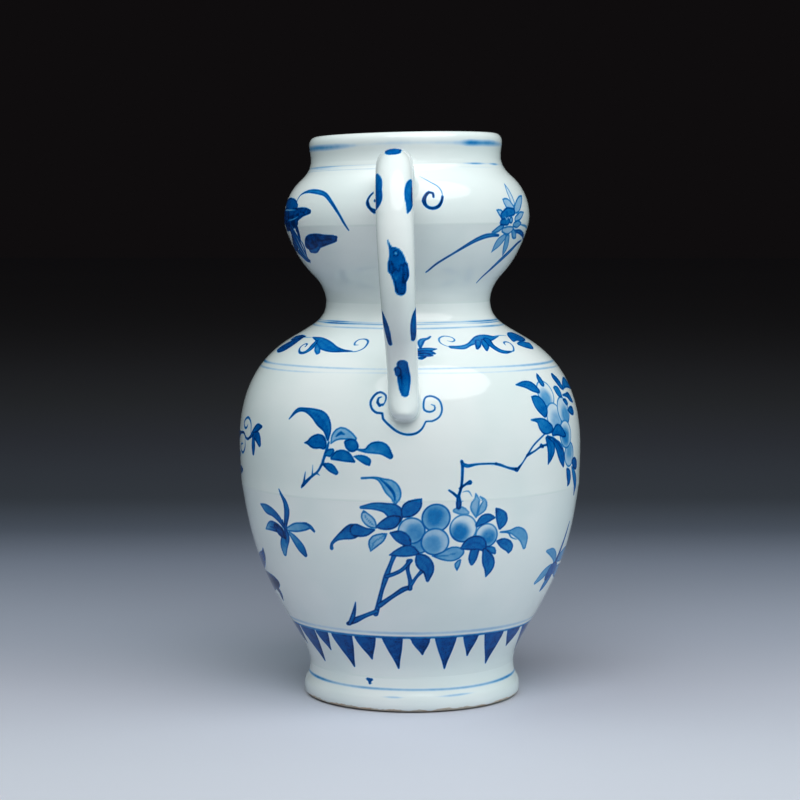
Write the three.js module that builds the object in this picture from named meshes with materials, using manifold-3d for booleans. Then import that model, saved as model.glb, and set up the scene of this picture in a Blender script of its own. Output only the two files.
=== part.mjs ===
import * as THREE from 'three';
import { mergeVertices } from 'three/addons/utils/BufferGeometryUtils.js';
import Module from 'manifold-3d';

// Two-handled double-gourd vase in porcelain: four thrown sections and a foot ring, joined end to
// end with rings of luting slip, and two rolled handles, each luted on at both ends.
// Millimetres, +Z up, origin at the middle of the foot's standing face, handles towards -Y and +Y.

const wasm = await Module();
wasm.setup();

// Outer radii of the thrown outline, from the foot up
const footRadius = 43.7;
const ankleRadius = 41.4;
const bellyRadius = 69;
const shoulderRadius = 41.8;
const waistRadius = 33;
const underBulbRadius = 38.4;
const bulbRadius = 49.3;
const collarRadius = 42.6;
const neckRadius = 38;
const lipRadius = 38.6;

// How far each of those places stands above the one below it
const footEdgeRise = 3.5;
const ankleRise = 9.9;
const bellyRise = 87.6;
const shoulderRise = 46.4;
const waistRise = 11.8;
const underBulbRise = 11;
const bulbRise = 23.3;
const collarRise = 15.1;
const neckRise = 8.2;
const lipRise = 5.9;
const lipCrownRise = 3.2;

// Where the outline leans, in degrees from upright, outwards counted positive
const shoulderLeanDegrees = -58;
const underBulbLeanDegrees = 45;
const collarLeanDegrees = -48;

// Wall thickness where each place is
const ankleWall = 7;
const bellyWall = 5;
const shoulderWall = 4.6;
const waistWall = 5;
const bulbWall = 4.4;
const neckWall = 4.6;

// Foot and floor
const footRingWidth = 8.2;
const ankleLedge = 6.4;
const footBevel = 0.9;
const floorThickness = 6;
const floorCove = 9;

// Luting slip: the film between two sections and the bead that it leaves inside
const slipFilm = 0.8;
const slipBead = 1.5;
const clearance = 0.3;

// Seams, as shares of the rise that each one lies in
const bellySeamShare = 0.83;
const bulbSeamShare = 0.85;

// Handle: widths across and depths outwards, from the upper root to the lower root
const handleUpperWidth = 13.6;
const handleUpperDepth = 12;
const handleLowerWidth = 11.4;
const handleLowerDepth = 10.4;
const fingerRoom = 23;
const upperRootRise = 5.5;
const rootDepth = 6;
const archRise = 12.8;
const archShare = 0.34;
const bowDrop = 20;
const heelRise = 25;
const heelStandOff = 2.4;
const columnShare = 0.45;
const columnDrawShare = 0.47;
const tipDrop = 4.2;
const tipKick = 0.5;
const tipLength = 5;
const upperRootLeanDegrees = 42;
const archTopLeanDegrees = 90;
const bowLeanDegrees = 180;
const columnLeanDegrees = 204;
const heelLeanDegrees = 184;
const tipLeanDegrees = 168;

// Slip at the handle's roots: a film under the clay and a fillet that thins out up its sides
const rootFilm = 0.6;
const rootFlare = 1.7;
const rootFlareHeight = 3.4;
const rootSlipRun = 24;

// Fineness of the facets
const turnSteps = 48;
const rodSides = 14;
const rodStepsPerSpan = [6, 8, 5, 5, 2];
const tipAngles = [24, 46, 66, 84];
const flareSides = 28;
const flareStep = 1.5;
const coveSteps = 3;
const lipSteps = 6;

const glazeLook = { color: 0xe4ecee, roughness: 0.12, metalness: 0 };
const footLook = { color: 0xdfe3de, roughness: 0.3, metalness: 0 };
const slipLook = { color: 0xdbe4e6, roughness: 0.2, metalness: 0 };

// A station is a place on a curve: how far out, how high, its lean, and how strongly the curve
// keeps that lean on the way in and on the way out, as shares of the span there.
function station(out, up, leanDegrees, wall, pullShares) {
  const lean = THREE.MathUtils.degToRad(leanDegrees);
  const along = new THREE.Vector2(Math.sin(lean), Math.cos(lean));
  return { place: new THREE.Vector2(out, up), along, wall, pullShares };
}

function spanBetween(from, to) {
  const length = from.place.distanceTo(to.place);
  const leaving = from.place.clone().addScaledVector(from.along, length * from.pullShares[1]);
  const arriving = to.place.clone().addScaledVector(to.along, -length * to.pullShares[0]);
  return new THREE.CubicBezierCurve(from.place, leaving, arriving, to.place);
}

const footEdgeHeight = footEdgeRise;
const ankleHeight = footEdgeHeight + ankleRise;
const bellyHeight = ankleHeight + bellyRise;
const shoulderHeight = bellyHeight + shoulderRise;
const waistHeight = shoulderHeight + waistRise;
const underBulbHeight = waistHeight + underBulbRise;
const bulbHeight = underBulbHeight + bulbRise;
const collarHeight = bulbHeight + collarRise;
const neckHeight = collarHeight + neckRise;
const lipHeight = neckHeight + lipRise;
const bellySeamHeight = ankleHeight + bellyRise * bellySeamShare;
const bulbSeamHeight = underBulbHeight + bulbRise * bulbSeamShare;

const outline = [
  station(footRadius, footEdgeHeight, 0, ankleWall, [0, 0.41]),
  station(ankleRadius, ankleHeight, 0, ankleWall, [0.67, 0.12]),
  station(bellyRadius, bellyHeight, 0, bellyWall, [0.6, 0.64]),
  station(shoulderRadius, shoulderHeight, shoulderLeanDegrees, shoulderWall, [0.15, 0.44]),
  station(waistRadius, waistHeight, 0, waistWall, [0.43, 0.34]),
  station(underBulbRadius, underBulbHeight, underBulbLeanDegrees, waistWall, [0.32, 0.33]),
  station(bulbRadius, bulbHeight, 0, bulbWall, [0.22, 0.26]),
  station(collarRadius, collarHeight, collarLeanDegrees, bulbWall, [0.41, 0.35]),
  station(neckRadius, neckHeight, 0, neckWall, [0.38, 0.43]),
  station(lipRadius, lipHeight, 0, neckWall, [0.36, 0]),
];
const spanSteps = [3, 10, 9, 4, 4, 6, 5, 3, 2];

// Every sampled place of the outline, with the wall's inner face square behind it
function sampleOutline() {
  const samples = [];
  for (let i = 0; i + 1 < outline.length; i += 1) {
    const span = spanBetween(outline[i], outline[i + 1]);
    for (let step = 0; step <= spanSteps[i]; step += 1) {
      const t = step / spanSteps[i];
      if (step === 0 && i > 0) continue;
      const outer = span.getPoint(t);
      const along = t === 0 ? outline[i].along : t === 1 ? outline[i + 1].along : span.getTangent(t);
      const wall = THREE.MathUtils.lerp(outline[i].wall, outline[i + 1].wall, t);
      const outwards = new THREE.Vector2(along.y, -along.x);
      samples.push({ outer, outwards, inner: outer.clone().addScaledVector(outwards, -wall) });
    }
  }
  return samples;
}

const samples = sampleOutline();

function radiusAt(places, height) {
  const next = places.findIndex((place) => place.y >= height);
  if (next < 0) return places[places.length - 1].x;
  if (next === 0) return places[0].x;
  const low = places[next - 1];
  const high = places[next];
  return THREE.MathUtils.lerp(low.x, high.x, (height - low.y) / (high.y - low.y));
}

const outerPlaces = samples.map((sample) => sample.outer);
const innerPlaces = samples.map((sample) => sample.inner);
const outerRadiusAt = (height) => radiusAt(outerPlaces, height);
const innerRadiusAt = (height) => radiusAt(innerPlaces, height);

// The places strictly between two heights, closed off by the exact radius at each end
function stretch(places, low, high) {
  const margin = clearance;
  const between = places.filter((place) => place.y > low + margin && place.y < high - margin);
  const start = new THREE.Vector2(radiusAt(places, low), low);
  const end = new THREE.Vector2(radiusAt(places, high), high);
  return [start, ...between, end];
}

function turned(profile) {
  const geometry = new THREE.LatheGeometry(profile, turnSteps);
  geometry.rotateX(Math.PI / 2);
  return geometry;
}

function turnedRing(profile) {
  return turned([...profile, profile[0].clone()]);
}

function wallSection(low, high) {
  const outside = stretch(outerPlaces, low, high);
  const inside = stretch(innerPlaces, low, high).reverse();
  return turnedRing([...outside, ...inside]);
}

// Foot ring: flared, bevelled at the standing edge, hollow underneath
function footRingGeometry(top) {
  const innerRadius = footRadius - footRingWidth;
  const outside = stretch(outerPlaces, footEdgeHeight, top);
  return turnedRing([
    new THREE.Vector2(innerRadius + footBevel, 0),
    new THREE.Vector2(footRadius - footBevel, 0),
    new THREE.Vector2(footRadius, footBevel),
    ...outside,
    new THREE.Vector2(ankleRadius - ankleLedge, top),
    new THREE.Vector2(innerRadius, footBevel),
  ]);
}

// Lower belly: the floor is thrown in one with its wall, and a cove leads from one to the other
function lowerBellyGeometry(low, high) {
  const floorTop = low + floorThickness;
  const coveTop = floorTop + floorCove;
  const outside = stretch(outerPlaces, low, high);
  const inside = stretch(innerPlaces, coveTop, high).reverse();
  const coveRadius = innerRadiusAt(coveTop);
  const cove = [];
  for (let step = 1; step <= coveSteps; step += 1) {
    const angle = (step / coveSteps) * (Math.PI / 2);
    const inwards = floorCove * (1 - Math.cos(angle));
    cove.push(new THREE.Vector2(coveRadius - inwards, coveTop - floorCove * Math.sin(angle)));
  }
  const underside = new THREE.Vector2(0, low);
  const floorMiddle = new THREE.Vector2(0, floorTop);
  return turned([underside, ...outside, ...inside, ...cove, floorMiddle]);
}

// Upper half of the small bulb, with the neck and the thick rounded lip
function bulbTopGeometry(low) {
  const outside = stretch(outerPlaces, low, lipHeight);
  const inside = stretch(innerPlaces, low, lipHeight).reverse();
  const lipInner = neckRadius - neckWall;
  const lipMiddle = (lipRadius + lipInner) / 2;
  const lipHalf = (lipRadius - lipInner) / 2;
  const crown = new THREE.EllipseCurve(lipMiddle, lipHeight, lipHalf, lipCrownRise, 0, Math.PI);
  const crownPlaces = crown.getPoints(lipSteps).slice(1, -1);
  inside[0] = new THREE.Vector2(lipInner, lipHeight);
  return turnedRing([...outside, ...crownPlaces, ...inside]);
}

// Slip between two wall sections: a film as wide as the wall, and the bead squeezed out inside
function seamSlipGeometry(height) {
  const low = height - slipFilm / 2;
  const high = height + slipFilm / 2;
  const narrowest = Math.min(innerRadiusAt(height - slipBead), innerRadiusAt(height + slipBead));
  const beadRoot = Math.min(narrowest, innerRadiusAt(height)) - clearance;
  return turnedRing([
    new THREE.Vector2(outerRadiusAt(low), low),
    new THREE.Vector2(outerRadiusAt(high), high),
    new THREE.Vector2(beadRoot, high),
    new THREE.Vector2(beadRoot, height + slipBead),
    new THREE.Vector2(beadRoot - slipBead, height),
    new THREE.Vector2(beadRoot, height - slipBead),
    new THREE.Vector2(beadRoot, low),
  ]);
}

// Slip between the floor's underside and the foot ring, with a small cove inside the foot
function footSlipGeometry(height) {
  const low = height - slipFilm / 2;
  const high = height + slipFilm / 2;
  const narrowest = Math.min(footRadius - footRingWidth, ankleRadius - ankleLedge);
  const beadRoot = narrowest - clearance;
  return turnedRing([
    new THREE.Vector2(outerRadiusAt(low), low),
    new THREE.Vector2(outerRadiusAt(high), high),
    new THREE.Vector2(beadRoot - slipBead, high),
    new THREE.Vector2(beadRoot, low - slipBead),
    new THREE.Vector2(beadRoot, low),
  ]);
}

// Closed solid of everything within the outline, grown by a gap, for cutting roots to the wall
function grownBodyGeometry(gap) {
  const grown = samples.map((sample) => sample.outer.clone().addScaledVector(sample.outwards, gap));
  const first = grown[0];
  const last = grown[grown.length - 1];
  const foot = [new THREE.Vector2(0, 0), new THREE.Vector2(first.x, 0)];
  return turned([...foot, ...grown, new THREE.Vector2(0, last.y)]);
}

// Handle centreline, out from the axis and up: from inside the bulb's wall over an arch to the bow,
// in along the column to the heel, and down the shoulder to a rounded tip that lies against it
const upperRootHeight = bulbHeight + upperRootRise;
const archHeight = upperRootHeight + archRise;
const bowHeight = upperRootHeight - bowDrop;
const heelHeight = bellyHeight + heelRise;
const columnHeight = THREE.MathUtils.lerp(heelHeight, bowHeight, columnShare);
const upperRootReach = outerRadiusAt(upperRootHeight) - rootDepth;
const bowReach = bulbRadius + fingerRoom + handleUpperDepth / 2;
const archReach = THREE.MathUtils.lerp(upperRootReach, bowReach, archShare);
const heelReach = outerRadiusAt(heelHeight) + heelStandOff;
const columnReach = THREE.MathUtils.lerp(heelReach, bowReach, columnDrawShare);

const handleStations = [
  station(upperRootReach, upperRootHeight, upperRootLeanDegrees, 0, [0, 0.35]),
  station(archReach, archHeight, archTopLeanDegrees, 0, [0.4, 0.4]),
  station(bowReach, bowHeight, bowLeanDegrees, 0, [0.34, 0.36]),
  station(columnReach, columnHeight, columnLeanDegrees, 0, [0.34, 0.42]),
  station(heelReach, heelHeight, heelLeanDegrees, 0, [0.22, 0.3]),
  station(heelReach + tipKick, heelHeight - tipDrop, tipLeanDegrees, 0, [0.3, 0]),
];

function samplePath() {
  const path = [];
  for (let i = 0; i + 1 < handleStations.length; i += 1) {
    const span = spanBetween(handleStations[i], handleStations[i + 1]);
    for (let step = 0; step <= rodStepsPerSpan[i]; step += 1) {
      if (step === 0 && i > 0) continue;
      const t = step / rodStepsPerSpan[i];
      path.push({ centre: span.getPoint(t), along: span.getTangent(t) });
    }
  }
  let run = 0;
  path.forEach((place, i) => {
    if (i > 0) run += place.centre.distanceTo(path[i - 1].centre);
    place.run = run;
  });
  return path;
}

const handlePath = samplePath();
const handleRun = handlePath[handlePath.length - 1].run;

// A ring of the rolled clay's skin at a place along the handle: each corner, and the way out of the
// clay there, as across, out from the axis and up. The rounded tip closes in with its turn.
function ringAt({ centre, along, run }, sides, tipDegrees) {
  const t = THREE.MathUtils.smoothstep(run / handleRun, 0, 1);
  const halfWidth = THREE.MathUtils.lerp(handleUpperWidth, handleLowerWidth, t) / 2;
  const halfDepth = THREE.MathUtils.lerp(handleUpperDepth, handleLowerDepth, t) / 2;
  const turn = THREE.MathUtils.degToRad(tipDegrees);
  const ring = [];
  for (let side = 0; side < sides; side += 1) {
    const angle = (side / sides) * Math.PI * 2;
    const across = Math.cos(angle) * Math.cos(turn);
    const outwards = Math.sin(angle) * Math.cos(turn);
    const forwards = Math.sin(turn);
    const reach = centre.x + along.x * forwards * tipLength - along.y * outwards * halfDepth;
    const height = centre.y + along.y * forwards * tipLength + along.x * outwards * halfDepth;
    const skin = new THREE.Vector3(across * halfWidth, reach, height);
    const outReach = along.x * forwards - along.y * outwards;
    const outHeight = along.y * forwards + along.x * outwards;
    ring.push({ skin, wayOut: new THREE.Vector3(across, outReach, outHeight) });
  }
  return ring;
}

// A closed rod through rings of skin, each corner moved out by as much as is asked for there
function rodGeometry(rings, growAt) {
  const corners = [];
  const faces = [];
  const sides = rings[0].length;
  rings.flat().forEach(({ skin, wayOut }) => {
    const place = skin.clone().addScaledVector(wayOut, growAt(skin));
    corners.push(place.x, -place.y, place.z);
  });
  for (let ring = 0; ring + 1 < rings.length; ring += 1) {
    for (let side = 0; side < sides; side += 1) {
      const next = (side + 1) % sides;
      const a = ring * sides + side;
      const b = ring * sides + next;
      faces.push(a, b, a + sides, b, b + sides, a + sides);
    }
  }
  const lastRing = (rings.length - 1) * sides;
  for (let side = 1; side + 1 < sides; side += 1) {
    faces.push(0, side + 1, side, lastRing, lastRing + side, lastRing + side + 1);
  }
  const geometry = new THREE.BufferGeometry();
  geometry.setAttribute('position', new THREE.Float32BufferAttribute(corners, 3));
  geometry.setIndex(faces);
  return geometry;
}

function tipRings(sides) {
  const tipPlace = handlePath[handlePath.length - 1];
  return tipAngles.map((degrees) => ringAt(tipPlace, sides, degrees));
}

function handleRod(grow) {
  const rings = handlePath.map((place) => ringAt(place, rodSides, 0));
  return rodGeometry([...rings, ...tipRings(rodSides)], () => grow);
}

// How far slip stands out round the handle: widest on the wall, and sunk into the handle's room above
// the fillet's height
function flareAt(skin) {
  const height = Math.max(0, Math.hypot(skin.x, skin.y) - outerRadiusAt(skin.z));
  if (height > rootFlareHeight) return -clearance;
  return clearance + clearance + rootFlare * (1 - height / rootFlareHeight) ** 2;
}

function flareRod(startRun, endRun, endRings) {
  const steps = Math.round((endRun - startRun) / flareStep);
  const rings = [];
  for (let step = 0; step <= steps; step += 1) {
    const run = THREE.MathUtils.lerp(startRun, endRun, step / steps);
    rings.push(ringAt(placeAtRun(run), flareSides, 0));
  }
  return rodGeometry([...rings, ...endRings], flareAt);
}

function placeAtRun(run) {
  const next = Math.max(1, handlePath.findIndex((place) => place.run >= run));
  const low = handlePath[next - 1];
  const high = handlePath[next];
  const t = (run - low.run) / (high.run - low.run);
  const along = low.along.clone().lerp(high.along, t).normalize();
  return { centre: low.centre.clone().lerp(high.centre, t), along, run };
}

function solid(geometry) {
  const bare = geometry.clone();
  bare.deleteAttribute('normal');
  bare.deleteAttribute('uv');
  const merged = mergeVertices(bare);
  return new wasm.Manifold(new wasm.Mesh({
    numProp: 3,
    vertProperties: merged.attributes.position.array,
    triVerts: merged.index.array,
  }));
}

function geometryOf(shape) {
  const mesh = shape.getMesh();
  const geometry = new THREE.BufferGeometry();
  geometry.setAttribute('position', new THREE.BufferAttribute(mesh.vertProperties, 3));
  geometry.setIndex(new THREE.BufferAttribute(mesh.triVerts, 1));
  return geometry;
}

const wallGap = solid(grownBodyGeometry(clearance));
const filmGap = solid(grownBodyGeometry(clearance + rootFilm));
const handleGap = solid(grownBodyGeometry(clearance + rootFilm + clearance));

function handleGeometry() {
  return geometryOf(solid(handleRod(0)).subtract(handleGap));
}

function rootSlipGeometry(flare) {
  const handleRoom = solid(handleRod(clearance)).subtract(filmGap);
  return geometryOf(solid(flare).subtract(wallGap).subtract(handleRoom));
}

const group = new THREE.Group();

function add(parent, name, geometry, look) {
  const mesh = new THREE.Mesh(geometry, new THREE.MeshStandardMaterial(look));
  mesh.name = name;
  parent.add(mesh);
}

// Body, from the foot up: each section stops half a film short of the seam it shares
const halfFilm = slipFilm / 2;
add(group, 'foot_ring', footRingGeometry(ankleHeight - halfFilm), footLook);
add(group, 'foot_seam_slip', footSlipGeometry(ankleHeight), slipLook);
const lowerBelly = lowerBellyGeometry(ankleHeight + halfFilm, bellySeamHeight - halfFilm);
add(group, 'lower_belly', lowerBelly, glazeLook);
add(group, 'belly_seam_slip', seamSlipGeometry(bellySeamHeight), slipLook);
add(group, 'shoulder', wallSection(bellySeamHeight + halfFilm, waistHeight - halfFilm), glazeLook);
add(group, 'waist_seam_slip', seamSlipGeometry(waistHeight), slipLook);
add(group, 'bulb_bowl', wallSection(waistHeight + halfFilm, bulbSeamHeight - halfFilm), glazeLook);
add(group, 'bulb_seam_slip', seamSlipGeometry(bulbSeamHeight), slipLook);
add(group, 'bulb_top_and_lip', bulbTopGeometry(bulbSeamHeight + halfFilm), glazeLook);

// The two handles are alike, half a turn apart
for (const [side, turn] of [['front', 0], ['back', Math.PI]]) {
  const handleGroup = new THREE.Group();
  handleGroup.rotation.z = turn;
  add(handleGroup, `${side}_handle`, handleGeometry(), glazeLook);
  const upperFlare = flareRod(0, rootSlipRun, []);
  const lowerFlare = flareRod(handleRun - rootSlipRun, handleRun, tipRings(flareSides));
  add(handleGroup, `${side}_upper_root_slip`, rootSlipGeometry(upperFlare), slipLook);
  add(handleGroup, `${side}_lower_root_slip`, rootSlipGeometry(lowerFlare), slipLook);
  group.add(handleGroup);
}

export default group;
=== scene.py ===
import bpy
import math
import numpy as np
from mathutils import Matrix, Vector


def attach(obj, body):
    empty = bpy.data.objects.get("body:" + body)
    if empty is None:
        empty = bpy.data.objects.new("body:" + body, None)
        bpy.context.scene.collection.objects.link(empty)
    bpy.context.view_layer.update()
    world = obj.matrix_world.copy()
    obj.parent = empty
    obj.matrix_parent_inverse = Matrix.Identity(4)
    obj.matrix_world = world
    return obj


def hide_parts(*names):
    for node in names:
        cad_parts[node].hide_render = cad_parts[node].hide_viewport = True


# Two-handled double-gourd vase: thrown and luted porcelain, painted in cobalt under a clear glaze.
# Shapes are worked out in millimetres and radians, and placed in metres.

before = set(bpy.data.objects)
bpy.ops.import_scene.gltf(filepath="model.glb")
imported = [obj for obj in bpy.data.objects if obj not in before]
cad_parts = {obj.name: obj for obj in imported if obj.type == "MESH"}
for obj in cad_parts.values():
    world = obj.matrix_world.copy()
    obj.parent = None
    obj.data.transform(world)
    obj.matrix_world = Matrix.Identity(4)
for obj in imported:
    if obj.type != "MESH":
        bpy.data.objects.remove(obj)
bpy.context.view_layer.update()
mm = 0.001

# The thrown outline from the foot up: radius, height, lean in degrees, how long the curve keeps
# that lean on the way in and on the way out, and the wall measured square to the outside.
outline = [
    dict(radius=43.7, height=3.5, lean=0, pulls=(0, 0.41), wall=7.0),
    dict(radius=41.4, height=13.4, lean=0, pulls=(0.67, 0.14), wall=7.0),
    dict(radius=69.0, height=101.0, lean=0, pulls=(0.6, 0.64), wall=5.0),
    dict(radius=41.8, height=147.4, lean=-58, pulls=(0.15, 0.44), wall=4.6),
    dict(radius=33.0, height=159.2, lean=0, pulls=(0.43, 0.34), wall=5.0),
    dict(radius=38.4, height=170.2, lean=45, pulls=(0.32, 0.33), wall=5.0),
    dict(radius=49.3, height=193.5, lean=0, pulls=(0.22, 0.26), wall=4.4),
    dict(radius=42.6, height=208.6, lean=-48, pulls=(0.41, 0.35), wall=4.4),
    dict(radius=38.0, height=216.8, lean=0, pulls=(0.38, 0.43), wall=4.6),
    dict(radius=38.6, height=222.7, lean=0, pulls=(0.36, 0), wall=4.6),
]
throwing = dict(turns=180, row=2.4, innerRow=4.0, curveSteps=300, joinWithin=0.002)
lip = dict(inner=33.4, crown=3.2, steps=14)

# The foot's rounded edges go in from its side, and up, by these shares of the bevel
foot = dict(innerLow=35.5, innerHigh=35.0, bevel=1.4, row=0.6, floor=6.0, cove=9.0, coveSteps=8,
            outerEdge=[(1.5, 0), (1.1, 0.3), (0.3, 0.6), (0, 1.2)], innerEdge=[(0, 1.6), (0.3, 0.5)],
            underRings=(0, 14, 28), floorRings=(24, 16, 8, 0))
seams = dict(foot=13.4, belly=86.108, waist=159.2, bulb=190.005, film=0.8)


def smoothStep(low, high, value):
    t = np.clip((value - low) / (high - low), 0, 1)
    return t * t * (3 - 2 * t)


def waves(facing, seed, parts):
    # unevenness round the vase; each part gives its waves, what the seed counts for, and its share
    return sum(share * np.sin(facing * count + seed * shift) for count, shift, share in parts)


def bezier(p0, p1, p2, p3, t):
    t = t[:, None]
    return (1 - t) ** 3 * p0 + 3 * (1 - t) ** 2 * t * p1 + 3 * (1 - t) * t ** 2 * p2 + t ** 3 * p3


def curveThrough(stations, steps):
    places, walls = [], []
    for low, high in zip(stations, stations[1:]):
        start = np.array([low["radius"], low["height"]], float)
        end = np.array([high["radius"], high["height"]], float)
        length = np.linalg.norm(end - start)
        leaving, arriving = (np.array([math.sin(math.radians(s["lean"])), math.cos(math.radians(s["lean"]))])
                             for s in (low, high))
        t = np.linspace(0, 1, steps)
        places.append(bezier(start, start + leaving * length * low["pulls"][1],
                             end - arriving * length * high["pulls"][0], end, t))
        walls.append(low.get("wall", 0) + (high.get("wall", 0) - low.get("wall", 0)) * t)
    places, walls = np.concatenate(places), np.concatenate(walls)
    kept = np.r_[True, np.linalg.norm(np.diff(places, axis=0), axis=1) > 1e-9]
    return places[kept], walls[kept]


def alongCurve(places):
    along = np.gradient(places, axis=0)
    return along / np.linalg.norm(along, axis=1)[:, None]


def runsOf(places):
    return np.r_[0, np.cumsum(np.linalg.norm(np.diff(places, axis=0), axis=1))]


def tidyCurve(curve):
    # drops the few places where an offset curve doubles back, so that heights only rise
    rising = np.maximum.accumulate(curve[:, 1])
    return curve[(curve[:, 1] >= rising) & (np.r_[1, np.diff(rising)] > 1e-6)]


outside, walls = curveThrough(outline, throwing["curveSteps"])
outwards = alongCurve(outside)[:, ::-1] * (1, -1)
inside = tidyCurve(outside - outwards * walls[:, None])
outsideRuns = runsOf(outside) + outline[0]["height"]


def radiusAt(height):
    return np.interp(height, outside[:, 1], outside[:, 0])


def innerRadiusAt(height):
    return float(np.interp(height, inside[:, 1], inside[:, 0]))


def runAt(height):
    return np.where(height < outside[0, 1], height, np.interp(height, outside[:, 1], outsideRuns))


def stretch(curve, low, high, row):
    # places of a curve between two heights, a row apart along it
    runs = runsOf(curve)
    start, end = np.interp([low, high], curve[:, 1], runs)
    chosen = np.linspace(start, end, max(2, int(round((end - start) / row)) + 1))
    places = np.stack([np.interp(chosen, runs, curve[:, 0]), np.interp(chosen, runs, curve[:, 1])], 1)
    return [tuple(p) for p in places]


# Small unevenness of a hand-thrown pot: the body leans, and the small bulb and lip sit askew.
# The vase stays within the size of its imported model.
unevenness = dict(level=101.0, lean=-0.01106, sag=-3.11e-5, tilt=0.0227, tiltFrom=150.0, tiltTo=212.0,
                  drop=0.9)


def settle(x, y, z):
    rise = z - unevenness["level"]
    share = smoothStep(unevenness["tiltFrom"], unevenness["tiltTo"], z)
    moved = x + unevenness["lean"] * rise + unevenness["sag"] * rise ** 2
    return moved, y, z + share * (unevenness["tilt"] * x - unevenness["drop"])


def deselect():
    if bpy.context.object and bpy.context.object.mode != "OBJECT":
        bpy.ops.object.mode_set(mode="OBJECT")
    bpy.ops.object.select_all(action="DESELECT")


def readPlaces(piece):
    co = np.empty(len(piece.data.vertices) * 3, np.float32)
    piece.data.vertices.foreach_get("co", co)
    return co.reshape(-1, 3).astype(float) / mm


def writePlaces(piece, places):
    piece.data.vertices.foreach_set("co", (places * mm).astype(np.float32).ravel())
    piece.data.update()


def readFaces(piece):
    centres = np.empty(len(piece.data.polygons) * 3, np.float32)
    areas = np.empty(len(piece.data.polygons), np.float32)
    piece.data.polygons.foreach_get("center", centres)
    piece.data.polygons.foreach_get("area", areas)
    return centres.reshape(-1, 3).astype(float) / mm, areas / mm ** 2


def editAll(piece, *steps):
    bpy.context.view_layer.objects.active = piece
    piece.select_set(True)
    bpy.ops.object.mode_set(mode="EDIT")
    bpy.ops.mesh.select_all(action="SELECT")
    for step in steps:
        step()
    bpy.ops.object.mode_set(mode="OBJECT")


def joinDoubles():
    bpy.ops.mesh.remove_doubles(threshold=throwing["joinWithin"] * mm)
    bpy.ops.mesh.normals_make_consistent(inside=False)


def spinRound():
    bpy.ops.mesh.spin(steps=throwing["turns"], angle=2 * math.pi, center=(0, 0, 0), axis=(0, 0, 1))
    bpy.ops.mesh.select_all(action="SELECT")


def turnPiece(name, profile):
    # a closed wall section: its outline is a ring of points, spun round the wheel's axis
    deselect()
    bpy.ops.mesh.primitive_circle_add(vertices=len(profile), radius=mm)
    piece = bpy.context.object
    piece.name = piece.data.name = name
    writePlaces(piece, np.array([(r, 0, z) for r, z in profile]))
    editAll(piece, spinRound, joinDoubles)
    return piece


def sheetPiece(name, across, along, placeAt):
    # a sheet of clay laid round: a grid whose places come from a function of two shares
    deselect()
    bpy.ops.mesh.primitive_grid_add(x_subdivisions=across, y_subdivisions=along, size=2)
    piece = bpy.context.object
    piece.name = piece.data.name = name
    shares = (readPlaces(piece)[:, :2] * mm + 1) / 2
    writePlaces(piece, placeAt(shares[:, 0], shares[:, 1]))
    return piece


# The thrown sections, from the foot up, meet at the seams with a film of slip between them
bodyNodes = dict(FootRing="foot_ring", LowerBelly="lower_belly", Shoulder="shoulder", BulbBowl="bulb_bowl",
                 BulbTop="bulb_top_and_lip")
seamHeights = [seams[name] for name in ("foot", "belly", "waist", "bulb")]
sectionLows = [0, *(height + seams["film"] / 2 for height in seamHeights)]
sectionHighs = [*(height - seams["film"] / 2 for height in seamHeights), outline[-1]["height"]]


def footProfile(high):
    bevel, side = foot["bevel"], outline[0]
    return [(foot["innerLow"] + bevel, 0),
            *((side["radius"] - bevel * across, bevel * up) for across, up in foot["outerEdge"]),
            *stretch(outside, side["height"], high, foot["row"]),
            (foot["innerHigh"], high),
            *((foot["innerLow"] + bevel * across, bevel * up) for across, up in foot["innerEdge"])]


def bellyProfile(low, high):
    floorTop = low + foot["floor"]
    coveTop = floorTop + foot["cove"]
    inner = stretch(inside, coveTop, high, throwing["innerRow"])[::-1]
    coveRadius = inner[-1][0]
    cove = [(coveRadius - foot["cove"] * (1 - math.cos(a)), coveTop - foot["cove"] * math.sin(a))
            for a in np.linspace(0, math.pi / 2, foot["coveSteps"])[1:]]
    return [*((r, low) for r in foot["underRings"]), *stretch(outside, low, high, throwing["row"]),
            *inner, *cove, *((r, floorTop) for r in foot["floorRings"])]


def topProfile(low, high):
    inner = stretch(inside, low, min(high, inside[-1, 1]), throwing["innerRow"])[::-1]
    rim = outline[-1]["radius"]
    middle, half = (rim + lip["inner"]) / 2, (rim - lip["inner"]) / 2
    crown = [(middle + half * math.cos(a), high + lip["crown"] * math.sin(a))
             for a in np.linspace(0, math.pi, lip["steps"] + 2)[1:-1]]
    return [*stretch(outside, low, high, throwing["row"]), *crown, (lip["inner"], high), *inner[1:]]


def sectionProfile(name, low, high):
    if name == "FootRing":
        return footProfile(high)
    if name == "LowerBelly":
        return bellyProfile(low, high)
    if name == "BulbTop":
        return topProfile(low, high)
    return [*stretch(outside, low, high, throwing["row"]),
            *stretch(inside, low, high, throwing["innerRow"])[::-1]]


# Slip in the seams: a film between two sections, with the bead that is squeezed out inside
squeezed = dict(bead=1.5, behind=0.3, besides=1.5, turn=1.45, steps=9)


def slipProfile(seam):
    height, half, bead = seams[seam], seams["film"] / 2, squeezed["bead"]
    film = [(radiusAt(level), level) for level in (height - half, height, height + half)]
    if seam == "foot":
        root = min(foot["innerLow"], foot["innerHigh"]) - squeezed["behind"]
        inner = [(root - bead, height + half), (root - bead / 2, height - half), (root, height - half - bead)]
    else:
        root = min(innerRadiusAt(height + side * squeezed["besides"]) for side in (-1, 1)) - squeezed["behind"]
        turns = np.linspace(squeezed["turn"], -squeezed["turn"], squeezed["steps"])
        inner = [(root, height + half)]
        inner += [(root - bead * math.cos(a), height + bead * math.sin(a)) for a in turns]
    return [*film, *inner, (root, height - half)]


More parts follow.
